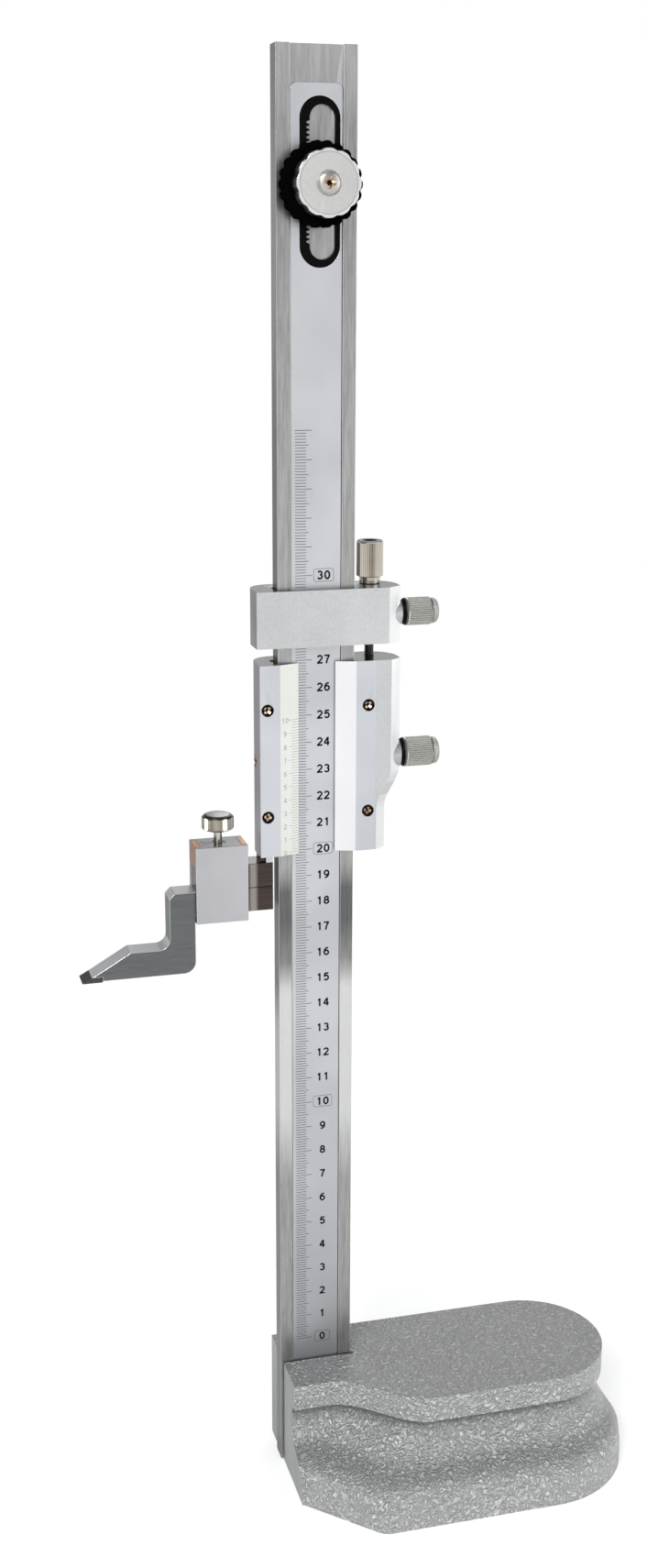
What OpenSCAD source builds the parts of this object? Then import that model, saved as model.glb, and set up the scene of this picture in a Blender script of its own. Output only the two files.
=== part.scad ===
// Vernier height gauge, 0 to 300 mm: cast base, beam, adjustable scale, slider, fine feed and scriber.
// Origin at the middle of the base's foot, on the surface plate. +Z is up the beam, -Y faces the reader.

/* [Settings at rest] */
// Reading on the main scale, at the vernier's zero line
reading = 200; // [120:1:260]
// How far the main scale stands above its lowest useful setting
scale_set = 7.9; // [0:0.1:12]

/* [Base casting] */
// Length of the foot, from the machined end to the round end
foot_l = 132.7; // [115:1:160]
// Width of the foot, back to front
foot_w = 75; // [68:1:90]
// Height of the base
base_h = 43.6; // [42:0.1:43.8]
// Length of the deck on top
deck_l = 128; // [105:1:150]
// Width of the deck, back to front
deck_w = 57.8; // [50:1:66]
// Height of the deck's upright rim
rim_h = 10.5; // [7:0.5:14]
// Height of the foot, up to the crease under the waist
foot_h = 12.8; // [10:0.1:16]
// How far the waist draws in under the rim
waist_in = 6; // [3:0.5:8]
// Rim at the machined end, from the beam's front forwards
end_rim = 17.4; // [14:0.2:20]
// Foot at the machined end, from the beam's front forwards
end_foot = 30; // [25:0.5:32]
// Base behind the beam's front
back_reach = 20.2; // [19:0.2:26]
// Diameter of the screws that hold the beam
beam_screw_d = 5; // [4:0.5:6]
// Distance between the beam screws, across and up
beam_screw_span = 14; // [12:0.5:16]

/* [Beam] */
// Width of the beam
beam_w = 28; // [26.5:0.5:32]
// Thickness of the beam
beam_t = 7.2; // [7:0.1:8]
// Height of the beam's top above the surface plate
beam_top = 526.8; // [518:1:560]
// How far the base's machined end stands in from the beam's left edge
beam_proud = 1.1; // [0.5:0.1:2]
// Width of the channel for the scale
channel_w = 18.2; // [18:0.1:19]
// Depth of the channel
channel_d = 1.6; // [1.5:0.05:1.9]

/* [Main scale] */
// Width of the scale plate
scale_w = 17.8; // [17.2:0.1:17.9]
// Thickness of the scale plate
scale_t = 1.2; // [1:0.05:1.3]
// Beam that shows above the scale plate
scale_top_gap = 12; // [8:0.5:20]
// Scale plate below its own zero line
scale_foot = 22; // [18:0.5:26]
// Middle of the top slot above the knob axis, at rest
slot_rise = 0.8; // [-2:0.2:2]
// Width of the top slot
slot_w = 14; // [13.7:0.1:14.2]
// Length of the top slot
slot_l = 54.4; // [54:0.2:58]
// Width of the slot frame's clear window
window_w = 8.75; // [8.4:0.05:8.9]
// Length of the slot frame's clear window
window_l = 49.2; // [48.6:0.2:50]

/* [Scale feed] */
// Knob axis below the beam's top
knob_drop = 44; // [42:0.2:48]
// Module of the rack and pinion
gear_module = 0.5; // [0.48:0.01:0.51]
// Teeth on the pinion
pinion_teeth = 11; // [11:1:12]
// Tooth gaps in the rack
rack_gaps = 25; // [21:2:25]
// Diameter of the black feed knob
feed_knob_d = 27.6; // [24:0.2:30]
// Thickness of the black feed knob's rim
feed_knob_t = 5.2; // [4:0.1:6]
// Scallops round the black feed knob
feed_scallops = 22; // [16:1:30]
// Diameter of the feed knob's boss
boss_d = 17; // [14:0.5:20]
// Diameter of the silver lock knob
lock_knob_d = 21.8; // [18:0.2:24]
// Thickness of the silver lock knob
lock_knob_t = 6; // [5:0.1:7]
// Flutes round the silver lock knob
lock_flutes = 12; // [8:1:16]
// Diameter of the stud that carries both knobs
stud_d = 5; // [4.4:0.1:5.2]
// Diameter of the head of the screw in the lock knob
lock_head_d = 7.1; // [6:0.1:8]

/* [Slider] */
// Height of the slider
slider_h = 70.2; // [68:0.2:72]
// Slider below the vernier's zero line
zero_up = 1; // [0.8:0.1:1.4]
// Slider to the left of the beam
left_wall = 7.2; // [7:0.1:8]
// Slider to the right of the beam
right_wall = 17.2; // [16.6:0.2:19]
// Front of the cover plates, ahead of the beam
plate_front = 2.8; // [2.6:0.1:3.2]
// Back of slider and carrier, behind the beam's front
back_depth = 14.4; // [14:0.2:16]
// How far the slider's right side steps in at the bottom
side_cut = 5.4; // [3:0.2:6]
// Top of that step above the vernier's zero line
cut_high = 28.5; // [24:0.5:28.5]
// Bottom of that step above the vernier's zero line
cut_low = 14.5; // [10:0.5:18]
// Width of the vernier plate
vernier_w = 14.6; // [14:0.1:15.2]
// Width of the plain guide plate
guide_w = 14.5; // [13.9:0.1:15]
// Width of the bevel on both plates
bevel_w = 7.2; // [6:0.1:7.6]
// Thickness of a plate at its bevelled edge
edge_t = 0.45; // [0.3:0.05:0.6]
// Diameter of the heads of the plate screws
plate_head_d = 4.1; // [3.6:0.1:4.2]
// Thickness of the gib strip
gib_t = 1.4; // [1.2:0.1:1.6]
// Diameter of the gib's set screw
gib_screw_d = 4.5; // [4:0.1:4.6]

/* [Fine feed] */
// Height of the carrier block
carrier_h = 20; // [18:0.2:22]
// Gap between slider and carrier
carrier_gap = 6; // [5.4:0.1:7]
// Carrier block to the left of the beam
carrier_left = 8.2; // [7.6:0.1:9]
// Carrier block to the right of the beam
carrier_right = 17; // [16.4:0.2:17.6]
// Carrier's front wall, ahead of the beam
carrier_front = 3.2; // [2.8:0.1:3.6]
// Room beside the beam for the leaf spring
spring_room = 0.9; // [0.8:0.05:1.2]
// Diameter of the feed screw
feed_screw_d = 3.6; // [3:0.1:3.8]
// Diameter of the feed nut's knurled head
feed_nut_d = 9.6; // [9:0.2:10.6]
// Height of the feed nut's knurled head
feed_nut_h = 12.8; // [11:0.2:15]
// Diameter of the feed nut's sleeve
sleeve_d = 5.6; // [5.2:0.1:5.8]

/* [Clamp knobs] */
// Diameter of the slider's clamp knob
slider_knob_d = 10.8; // [8:0.1:12]
// Length of the slider's clamp knob
slider_knob_l = 14.2; // [12:0.2:17]
// Diameter of the carrier's clamp knob
carrier_knob_d = 10; // [8:0.1:12]
// Length of the carrier's clamp knob
carrier_knob_l = 13.2; // [12:0.2:17]
// Diameter of a clamp screw
clamp_screw_d = 4; // [3.4:0.1:4.2]
// Diameter of a clamp pad
pad_d = 3.8; // [3.2:0.1:4]

/* [Jaw and scriber] */
// Side of the square jaw and of the scriber's shank
shank = 9; // [8:0.1:9.2]
// Vernier zero line above the scriber's measuring face
drop = 44.9; // [44.8:0.1:46]
// Slider's lower end to the jaw's top
jaw_gap = 3.5; // [3:0.1:5]
// Reach of the jaw to the left of the beam
jaw_reach = 30.3; // [28:0.1:31]
// Width of the clamp box
box_w = 19.2; // [17:0.2:20]
// Depth of the clamp box, front to back
box_d = 12.6; // [12:0.1:14]
// Thickness of the clamp box's top wall
box_top_t = 4; // [3:0.1:5]
// Thickness of the clamp box's bottom wall
box_floor_t = 2.8; // [2.2:0.1:4]
// Thickness of the spring clip
clip_t = 0.5; // [0.4:0.05:0.6]
// Diameter of the thumb screw's head
thumb_d = 11.5; // [9:0.1:12]
// Height of the thumb screw's head
thumb_h = 5.6; // [5:0.1:9]
// Diameter of the thumb screw's stem
stem_d = 3; // [2.5:0.1:4]
// Reach of the scriber's foot, from its upright to the tip
foot_reach = 41.8; // [36:0.2:50]
// Width of the scriber's upright
upright_w = 9.6; // [8.6:0.1:11]
// Height of the scriber's foot
scriber_foot_h = 9.9; // [8.6:0.1:11]
// Length of the carbide insert
insert_l = 7.5; // [5:0.1:9]
// Thickness of the carbide insert
insert_t = 1.9; // [1.4:0.1:2.4]

/* [Hidden] */
$fn = 64;

// Clearances
slide_gap = 0.06;
turn_gap = 0.05;
fit_gap = 0.03;
over = 1;

// Base and beam
beam_x = -beam_proud - foot_l / 2;
beam_y = foot_w / 2 - back_reach;
beam_lift = 0.5;
front_gap = 0.5;
slot_relief_r = 1.1;
foot_slab = 1.2;
crease_out = 3.8;
crease_end = 4;
deck_front = back_reach - deck_w;
foot_front = back_reach - foot_w;
beam_head_d = 1.7 * beam_screw_d;
beam_head_h = beam_screw_d;
beam_head_sink = 1;
beam_thread = beam_t - channel_d - 1.2;
beam_screw_z = (base_h - beam_screw_span) / 2;

// Main scale, rack and knobs
scale_zero_z = drop + scale_set;
channel_x = (beam_w - channel_w) / 2;
scale_x = (beam_w - scale_w) / 2;
scale_face = channel_d - slide_gap - scale_t;
scale_bottom = scale_zero_z - scale_foot;
scale_l = beam_top - scale_top_gap - scale_bottom;
knob_z = beam_top - knob_drop;
scale_corner_r = 2.5;
knob_x = beam_w / 2;
pitch_r = gear_module * pinion_teeth / 2;
tooth_pitch = PI * gear_module;
window_x = knob_x - pitch_r + gear_module;
rail_w = 1.7;
slot_x = window_x + window_w + rail_w - slot_w;
slot_z = knob_z + slot_rise;
pinion_turn = (slot_z - knob_z) / pitch_r * 180 / PI;
stud_tail_d = 3;
stud_step = -0.35;
boss_back = -0.2;
boss_h = 2.4;
rim_back = boss_back - boss_h;
rim_front = rim_back - feed_knob_t;
hub_d = stud_d + 3;
lock_back = rim_front - 0.1;
lock_hub_h = 2.1;
lock_hub_d = 14;
lock_rim_back = lock_back - lock_hub_h;
lock_front = lock_rim_back - lock_knob_t;
lock_recess = 0.4;
lock_seat = lock_front + lock_recess;
lock_screw_d = stud_d / 2;
lock_head_h = 2.1;

// Slider
vernier_z = scale_zero_z + reading;
slider_top = slider_h - zero_up;
left_x = -left_wall;
right_x = beam_w + right_wall;
channel_left = -gib_t - 2 * slide_gap - 0.08;
channel_right = beam_w + slide_gap;
channel_back = beam_t + slide_gap;
left_back_r = 8.2;
right_back_r = 10;
bevel_run = 4;
bevel_rise = 3.2;
vernier_right = left_x + vernier_w;
guide_left = beam_w - 7.1;
guide_right = guide_left + guide_w;
plate_screw_d = 2.5;
plate_screw_depth = 3;
plate_screw_high = slider_top - 16.1;
plate_screw_low = 13.9;
plate_screw_left = left_x + left_wall / 2 - 0.8;
plate_screw_right = guide_right - 2.7;
head_seat = -1.2;
head_h = 1.3;
clamp_y = beam_t / 2;
clamp_z = slider_h / 2 - zero_up - 0.7;
pad_l = 2.4;
boss_start = right_x - bevel_run - over;
boss_end = right_x + 0.8;
boss_chamfer = 0.5;
knob_start = boss_end + 0.4;
knob_grip = 0.65;
gib_screw_y = 4.9;
gib_screw_z = slider_top - 36;
gib_inset = 0.5;

// Fine feed
carrier_bottom = slider_top + carrier_gap;
carrier_top = carrier_bottom + carrier_h;
carrier_clamp_z = carrier_bottom + carrier_h / 2;
carrier_right_x = beam_w + carrier_right;
feed_x = beam_w + 8;
feed_y = clamp_y + clamp_screw_d / 2 + sleeve_d / 2 + 0.3;
neck_h = 2.5;
neck_d = 7.4;
nut_top = carrier_top + neck_h + feed_nut_h;
pin_d = 1.5;
pin_z = carrier_bottom + 4.8;
groove_r = sleeve_d / 2 - 0.5;
feed_screw_deep = 17.2;

// Jaw, clamp box and scriber
jaw_y = 2;
jaw_top = -zero_up - jaw_gap;
jaw_bottom = jaw_top - shank;
shank_top = jaw_bottom - turn_gap;
shank_bottom = shank_top - shank;
jaw_right = channel_left;
tang_t = 2;
tang_x = jaw_right - 2.6 - tang_t;
tang_y = plate_screw_depth + 0.4;
tang_d = 5.6;
tang_top = 22;
dowel_d = 2.5;
dowel_z = [6, 16];
dowel_y = tang_y + tang_d / 2 + 0.4;
box_right = -11.2;
box_left = box_right - box_w;
box_y = jaw_y + shank / 2 - box_d / 2;
clip_z = jaw_top + turn_gap;
bow_room = 3.25;
window_top = clip_z + clip_t + bow_room;
window_bottom = shank_bottom - turn_gap;
box_top = window_top + box_top_t;
box_bottom = window_bottom - box_floor_t;
tab_l = 1.5;
thumb_x = (box_left + box_right) / 2 - 0.2;
thumb_y = jaw_y + shank / 2;
thumb_seat = clip_z + clip_t + turn_gap;
thumb_rise = 5.1;
upright_right = box_left - 0.1;
foot_top = -drop + scriber_foot_h + 0.4;
insert_proud = 0.4;
tip_x = upright_right - foot_reach;

// The frame of the beam: x from its left edge, y from its front, z from the surface plate
module at_beam() {
    translate([beam_x, beam_y, 0]) children();
}

// The frame of the slider: as the beam's, with z from the vernier's zero line
module at_slider() {
    at_beam() translate([0, 0, vernier_z]) children();
}

// Turns a shape drawn along z so that it runs along +x or +y
module along_x(x, y, z) {
    translate([x, y, z]) rotate([0, 90, 0]) children();
}

module along_y(x, y, z) {
    translate([x, y, z]) rotate([-90, 0, 0]) children();
}

// Stands a flat shape drawn in x and z upright, from y to y + depth
module upright(y, depth) {
    translate([0, y + depth, 0]) rotate([90, 0, 0]) linear_extrude(depth) children();
}

function smooth(t) = 3 * t * t - 2 * t * t * t;
function within(t) = max(0, min(1, t));
function arc(cx, cy, r, from, to, steps) = [
    for (i = [0:steps]) let (a = from + (to - from) * i / steps) [cx + r * cos(a), cy + r * sin(a)]
];

// Joins rings of as many points, given anticlockwise and from the lowest up
module ring_stack(rings, heights) {
    n = len(rings[0]);
    last = len(rings) - 1;
    points = [for (k = [0:last]) for (p = rings[k]) [p[0], p[1], heights[k]]];
    sides = [for (k = [0:last - 1]) for (i = [0:n - 1]) let (j = (i + 1) % n)
        [k * n + i, (k + 1) * n + i, (k + 1) * n + j, k * n + j]];
    floor_face = [for (i = [0:n - 1]) i];
    top_face = [for (i = [n - 1:-1:0]) last * n + i];
    polyhedron(points, concat([floor_face], sides, [top_face]), convexity = 8);
}

// Base: one outline of the casting. slant is 0 for the deck's S-curve at the machined end and 1 for
// the foot's straight slant, which rounds off into the front.
ring_steps = 18;
round_steps = 30;
ease = 0.2;
function slant_line(t) = let (m = 1 / (1 - ease / 2))
    t < 1 - ease ? m * t : 1 - m * (1 - t) * (1 - t) / (2 * ease);
function base_ring(end_y, front_y, far_x, slant) = let (
    start = beam_proud + 0.6 + 14 * (1 - slant),
    stop = beam_proud + 28.4 + 20.6 * (1 - slant),
    r = (back_reach - front_y) / 2
) concat(
    [[beam_proud, back_reach], [beam_proud, end_y]],
    [for (i = [0:ring_steps]) let (t = i / ring_steps)
        [start + (stop - start) * t,
         end_y + (front_y - end_y) * ((1 - slant) * smooth(t) + slant * slant_line(t))]],
    arc(far_x - r, (back_reach + front_y) / 2, r, -90, 90, round_steps)
);

waist_steps = 9;
foot_steps = 6;
waist_h = base_h - rim_h - foot_h;
function draw_in(u) = waist_in * sin(180 * (0.15 + 0.85 * u));
function waist_ring(u) = base_ring(
    -end_rim - (end_foot - crease_end - end_rim) * pow(u, 5) + draw_in(u) * 0.85,
    deck_front + (foot_front + crease_out - deck_front) * pow(u, 1.7) + draw_in(u),
    beam_proud + deck_l + (foot_l - deck_l) * pow(u, 1.7) - draw_in(u) * 0.4,
    u * u
);
function foot_ring(v) = let (s = 1 - pow(1 - v, 3))
    base_ring(-end_foot + crease_end * (1 - s), foot_front + crease_out * (1 - s), beam_proud + foot_l, 1);

module base_outside() {
    linear_extrude(foot_slab) polygon(foot_ring(1));
    ring_stack(
        concat(
            [for (k = [foot_steps:-1:1]) foot_ring(k / foot_steps)],
            [for (k = [waist_steps:-1:0]) waist_ring(k / waist_steps)],
            [waist_ring(0)]
        ),
        concat(
            [for (k = [foot_steps:-1:1]) foot_h - (foot_h - foot_slab) * k / foot_steps],
            [for (k = [waist_steps:-1:0]) foot_h + waist_h * (1 - k / waist_steps)],
            [base_h - rim_h / 2]
        )
    );
    translate([0, 0, base_h - rim_h]) linear_extrude(rim_h)
        polygon(base_ring(-end_rim, deck_front, beam_proud + deck_l, 0));
}

module at_beam_screws() {
    for (side = [-1, 1]) for (row = [0, 1])
        translate([(beam_w + side * beam_screw_span) / 2, 0, beam_screw_z + row * beam_screw_span])
            children();
}

module base_casting() {
    color("silver") at_beam() difference() {
        base_outside();
        translate([-over, -front_gap, -over])
            cube([over + channel_right, front_gap + channel_back, base_h + 2 * over]);
        translate([channel_right + 0.4, -front_gap + 0.2, -over])
            cylinder(r = slot_relief_r, h = base_h + 2 * over);
        at_beam_screws() {
            along_y(0, beam_t, 0) cylinder(d = beam_screw_d + 2 * fit_gap, h = back_reach);
            along_y(0, back_reach - beam_head_sink - beam_head_h, 0)
                cylinder(d = beam_head_d + 2 * front_gap, h = back_reach);
        }
    }
}

module beam_screws() {
    shaft_l = back_reach - beam_head_sink - beam_head_h - beam_t + beam_thread;
    color("dimgray") at_beam() at_beam_screws() along_y(0, beam_t - beam_thread, 0) difference() {
        union() {
            cylinder(d = beam_screw_d, h = shaft_l);
            translate([0, 0, shaft_l]) cylinder(d = beam_head_d, h = beam_head_h);
        }
        translate([0, 0, shaft_l + beam_head_h / 2])
            cylinder(d = 0.92 * beam_screw_d, h = beam_head_h, $fn = 6);
    }
}

module beam() {
    color("lightgray") at_beam() difference() {
        translate([0, 0, beam_lift]) cube([beam_w, beam_t, beam_top - beam_lift]);
        translate([channel_x, -over, 0]) cube([channel_w, over + channel_d, beam_top + over]);
        along_y(knob_x, 0, knob_z) cylinder(d = stud_tail_d + 2 * fit_gap, h = beam_t + over);
        at_beam_screws() along_y(0, beam_t - beam_thread - fit_gap, 0)
            cylinder(d = beam_screw_d + 2 * fit_gap, h = beam_t);
    }
}

// A slot with round ends, upright, its lower left corner at the origin
module round_slot(w, l) {
    translate([0, w / 2]) square([w, l - w]);
    translate([w / 2, w / 2]) circle(d = w);
    translate([w / 2, l - w / 2]) circle(d = w);
}

module scale_outline() {
    top = scale_l - scale_corner_r;
    polygon(concat(
        [[0, 0], [scale_w, 0]],
        arc(scale_w - scale_corner_r, top, scale_corner_r, 0, 90, 10),
        arc(scale_corner_r, top, scale_corner_r, 90, 180, 10)
    ));
}

module scale_plate() {
    color("whitesmoke") at_beam() upright(scale_face, scale_t) difference() {
        translate([scale_x, scale_bottom]) scale_outline();
        translate([slot_x, slot_z - slot_l / 2]) round_slot(slot_w, slot_l);
    }
}

// Depth of a tooth gap below the teeth's tips, and half its width there and at its root
gap_deep = 2.3 * gear_module;
gap_half = 0.4 * tooth_pitch;
gap_root_half = 0.13 * tooth_pitch;
module rack_gap() {
    polygon([
        [over / 2, -gap_half], [0, -gap_half], [-gap_deep, -gap_root_half],
        [-gap_deep, gap_root_half], [0, gap_half], [over / 2, gap_half]
    ]);
}

module rack_frame() {
    color("black") at_beam() upright(scale_face, scale_t) difference() {
        translate([slot_x + fit_gap, slot_z - slot_l / 2 + fit_gap])
            round_slot(slot_w - 2 * fit_gap, slot_l - 2 * fit_gap);
        translate([window_x, slot_z - window_l / 2]) round_slot(window_w, window_l);
        for (k = [0:rack_gaps - 1])
            translate([window_x, slot_z + (k - (rack_gaps - 1) / 2) * tooth_pitch]) rack_gap();
    }
}

module knob_stud() {
    color("darkgray") at_beam() difference() {
        union() {
            along_y(knob_x, stud_step, knob_z) cylinder(d = stud_tail_d, h = beam_t - stud_step - 0.2);
            along_y(knob_x, lock_seat, knob_z) cylinder(d = stud_d, h = stud_step - lock_seat);
        }
        along_y(knob_x, lock_seat - over, knob_z) cylinder(d = lock_screw_d + 2 * fit_gap, h = 7 + over);
    }
}

pinion_root_r = pitch_r - 1.2 * gear_module;
pinion_tip_r = pitch_r + 0.7 * gear_module;
tooth_root_half = 9.5;
tooth_tip_half = 3.5;
module pinion_teeth_shape() {
    polygon([for (i = [0:pinion_teeth - 1]) let (a = 180 - pinion_turn + i * 360 / pinion_teeth) each [
        pinion_root_r * [cos(a - tooth_root_half), sin(a - tooth_root_half)],
        pinion_tip_r * [cos(a - tooth_tip_half), sin(a - tooth_tip_half)],
        pinion_tip_r * [cos(a + tooth_tip_half), sin(a + tooth_tip_half)],
        pinion_root_r * [cos(a + tooth_root_half), sin(a + tooth_root_half)]
    ]]);
}

module pinion_gear() {
    hub_l = boss_h + feed_knob_t - 1.2;
    color("slategray") at_beam() difference() {
        union() {
            upright(boss_back, channel_d - 0.15 - boss_back) translate([knob_x, knob_z]) pinion_teeth_shape();
            along_y(knob_x, boss_back - hub_l, knob_z) cylinder(d = hub_d, h = hub_l);
        }
        along_y(knob_x, stud_step - turn_gap, knob_z) cylinder(d = stud_tail_d + 2 * turn_gap, h = 10);
        along_y(knob_x, boss_back - hub_l - over, knob_z)
            cylinder(d = stud_d + 2 * turn_gap, h = hub_l + over - boss_back + stud_step + turn_gap);
    }
}

// A round outline with shallow scallops
function scalloped(r, deep, count) = [
    for (i = [0:count * 8 - 1]) let (a = i * 45 / count, here = r - deep * pow(sin(a * count / 2), 6))
        here * [cos(a), sin(a)]
];

module scale_feed_knob() {
    color("black") at_beam() difference() {
        union() {
            upright(rim_front, feed_knob_t) translate([knob_x, knob_z])
                polygon(scalloped(feed_knob_d / 2, 0.8, feed_scallops));
            along_y(knob_x, rim_back, knob_z) cylinder(d = boss_d, h = boss_h);
        }
        along_y(knob_x, rim_front + 1.2, knob_z) cylinder(d = hub_d + 2 * fit_gap, h = feed_knob_t + boss_h);
        along_y(knob_x, rim_front - over, knob_z) cylinder(d = stud_d + 2 * turn_gap, h = feed_knob_t);
    }
}

module scale_lock_knob() {
    color("silver") at_beam() difference() {
        union() {
            upright(lock_front, lock_knob_t) translate([knob_x, knob_z])
                polygon(scalloped(lock_knob_d / 2, 0.55, lock_flutes));
            along_y(knob_x, lock_rim_back, knob_z) cylinder(d = lock_hub_d, h = lock_hub_h);
        }
        along_y(knob_x, lock_front - over, knob_z) cylinder(d = stud_d + 2 * turn_gap, h = 12 + lock_knob_t);
        along_y(knob_x, lock_front - over, knob_z) cylinder(d = lock_head_d + 0.8, h = over + lock_recess);
    }
}

module cross_recess(w, deep) {
    translate([-w / 2, -w / 10, -over]) cube([w, w / 5, deep + over]);
    translate([-w / 10, -w / 2, -over]) cube([w / 5, w, deep + over]);
}

module lock_knob_screw() {
    color("peru") at_beam() along_y(knob_x, lock_seat - turn_gap - lock_head_h, knob_z) difference() {
        union() {
            cylinder(d1 = lock_head_d - 1.2, d2 = lock_head_d, h = 0.8);
            translate([0, 0, 0.8]) cylinder(d = lock_head_d, h = lock_head_h - 0.8);
            cylinder(d = lock_screw_d, h = lock_head_h + 6.5);
        }
        cross_recess(0.6 * lock_head_d, 1.2);
    }
}

// Outline shared by slider and carrier from their left side round the back to the right bevel
function block_plan(x0, x1, y0, y1, r) = concat(
    [[x0, y0]],
    arc(x0 + r, y1 - r, r, 180, 90, 20),
    arc(x1 - right_back_r, y1 - right_back_r, right_back_r, 90, 0, 20),
    [[x1, -plate_front + bevel_rise]]
);

module slider_plan() {
    polygon(concat(
        block_plan(left_x, right_x, -slide_gap, back_depth, left_back_r),
        [[right_x - bevel_run, -plate_front], [guide_right, -plate_front], [guide_right, -slide_gap]]
    ));
}

// What the S-shaped step takes off the slider's right side, with the bevel that follows it
step_rings = 12;
function step_x(z) = right_x - side_cut * (1 - smooth(within((z - cut_low) / (cut_high - cut_low))));
function step_ring(x) = [
    [x - 1.5 * bevel_run, -plate_front - bevel_rise / 2], [right_x + over, -plate_front - bevel_rise / 2],
    [right_x + over, back_depth + over], [x, back_depth + over], [x, -plate_front + bevel_rise]
];
module side_step() {
    heights = concat(
        [-zero_up - over],
        [for (k = [0:step_rings]) cut_low + (cut_high - cut_low) * k / step_rings]
    );
    ring_stack([for (z = heights) step_ring(step_x(z) + (z == cut_high ? fit_gap : 0))], heights);
}

module at_plate_screws(x) {
    for (z = [plate_screw_low, plate_screw_high]) translate([x, 0, z]) children();
}

// The boss that a clamp screw comes out of, as thick as its knob
module clamp_boss(z, d) {
    l = boss_end - boss_start;
    along_x(boss_start, clamp_y, z) rotate_extrude()
        polygon([[0, 0], [d / 2, 0], [d / 2, l - boss_chamfer], [d / 2 - boss_chamfer, l], [0, l]]);
}

module clamp_bore(z) {
    along_x(beam_w, clamp_y, z) cylinder(d = clamp_screw_d + 2 * turn_gap, h = boss_end + over - beam_w);
}

module slider_body() {
    color("gainsboro") at_slider() difference() {
        union() {
            difference() {
                translate([0, 0, -zero_up]) linear_extrude(slider_h) slider_plan();
                side_step();
            }
            clamp_boss(clamp_z, slider_knob_d);
            translate([tang_x + tang_t + fit_gap, jaw_y, jaw_top + fit_gap])
                cube([jaw_right - tang_x - tang_t - fit_gap, shank, -jaw_top]);
        }
        translate([channel_left, -over, jaw_top - over])
            cube([channel_right - channel_left, over + channel_back, slider_h + jaw_gap + 2 * over]);
        clamp_bore(clamp_z);
        at_plate_screws(plate_screw_left) along_y(0, -over, 0)
            cylinder(d = plate_screw_d + 2 * fit_gap, h = over + plate_screw_depth);
        at_plate_screws(plate_screw_right) along_y(0, -over, 0)
            cylinder(d = plate_screw_d + 2 * fit_gap, h = over + plate_screw_depth);
        along_x(left_x - over, gib_screw_y, gib_screw_z)
            cylinder(d = gib_screw_d + 2 * fit_gap, h = left_wall);
        translate([tang_x - fit_gap, tang_y - fit_gap, -zero_up - over])
            cube([tang_t + 2 * fit_gap, tang_d + 2 * fit_gap, over + zero_up + tang_top + 0.3]);
        for (z = dowel_z) along_x(left_x + 0.5, dowel_y, z)
            cylinder(d = dowel_d + 2 * fit_gap, h = left_wall);
        translate([feed_x, feed_y, slider_top - feed_screw_deep])
            cylinder(d = feed_screw_d + 2 * fit_gap, h = feed_screw_deep + over);
    }
}

module slider_gib() {
    color("darkkhaki") at_slider() difference() {
        translate([channel_left + 0.08, 0.4, gib_inset - zero_up])
            cube([gib_t, beam_t - 1, slider_h - 2 * gib_inset]);
        along_x(channel_left, gib_screw_y, gib_screw_z) cylinder(d = 2.1, h = 0.8);
    }
}

module gib_screw() {
    color("chocolate") at_slider() difference() {
        union() {
            along_x(left_x + 0.15, gib_screw_y, gib_screw_z)
                cylinder(d = gib_screw_d, h = channel_left - left_x - 0.15);
            along_x(channel_left - over, gib_screw_y, gib_screw_z) cylinder(d = 2, h = over + 0.6);
        }
        translate([left_x - over, gib_screw_y - gib_screw_d, gib_screw_z - 0.3])
            cube([over + 1.1, 2 * gib_screw_d, 0.6]);
    }
}

// A cover plate: its profile across the beam, drawn with the bevel towards the right
module cover_plate(w) {
    translate([0, 0, -zero_up]) linear_extrude(slider_h) polygon([
        [0, -slide_gap], [0, -plate_front], [w - bevel_w, -plate_front],
        [w, -slide_gap - edge_t], [w, -slide_gap]
    ]);
}

module plate_screw_hole() {
    along_y(0, -plate_front - over, 0) cylinder(d = plate_screw_d + 2 * fit_gap, h = plate_front + 2 * over);
    along_y(0, -plate_front - over, 0) cylinder(d = plate_head_d + 0.4, h = plate_front + over + head_seat);
}

module plate_screw() {
    along_y(0, head_seat - head_h, 0) difference() {
        union() {
            cylinder(d = plate_head_d, h = head_h);
            cylinder(d = plate_screw_d, h = head_h - head_seat + plate_screw_depth - fit_gap);
        }
        cross_recess(0.62 * plate_head_d, 0.8);
    }
}

module vernier_plate() {
    color("whitesmoke") at_slider() difference() {
        translate([left_x, 0, 0]) cover_plate(vernier_w);
        at_plate_screws(plate_screw_left) plate_screw_hole();
    }
}

module vernier_plate_screws() {
    color("peru") at_slider() at_plate_screws(plate_screw_left) plate_screw();
}

module guide_plate() {
    color("whitesmoke") at_slider() difference() {
        translate([guide_right, 0, 0]) mirror([1, 0, 0]) cover_plate(guide_w);
        at_plate_screws(plate_screw_right) plate_screw_hole();
    }
}

module guide_plate_screws() {
    color("peru") at_slider() at_plate_screws(plate_screw_right) plate_screw();
}

module clamp_pad(z) {
    color("goldenrod") at_slider() along_x(beam_w + 0.1, clamp_y, z) cylinder(d = pad_d, h = pad_l);
}

module clamp_screw(z, knob_l) {
    start = beam_w + pad_l + 0.15;
    color("darkgray") at_slider() along_x(start, clamp_y, z)
        cylinder(d = clamp_screw_d, h = knob_start + knob_grip * knob_l - start);
}

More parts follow.
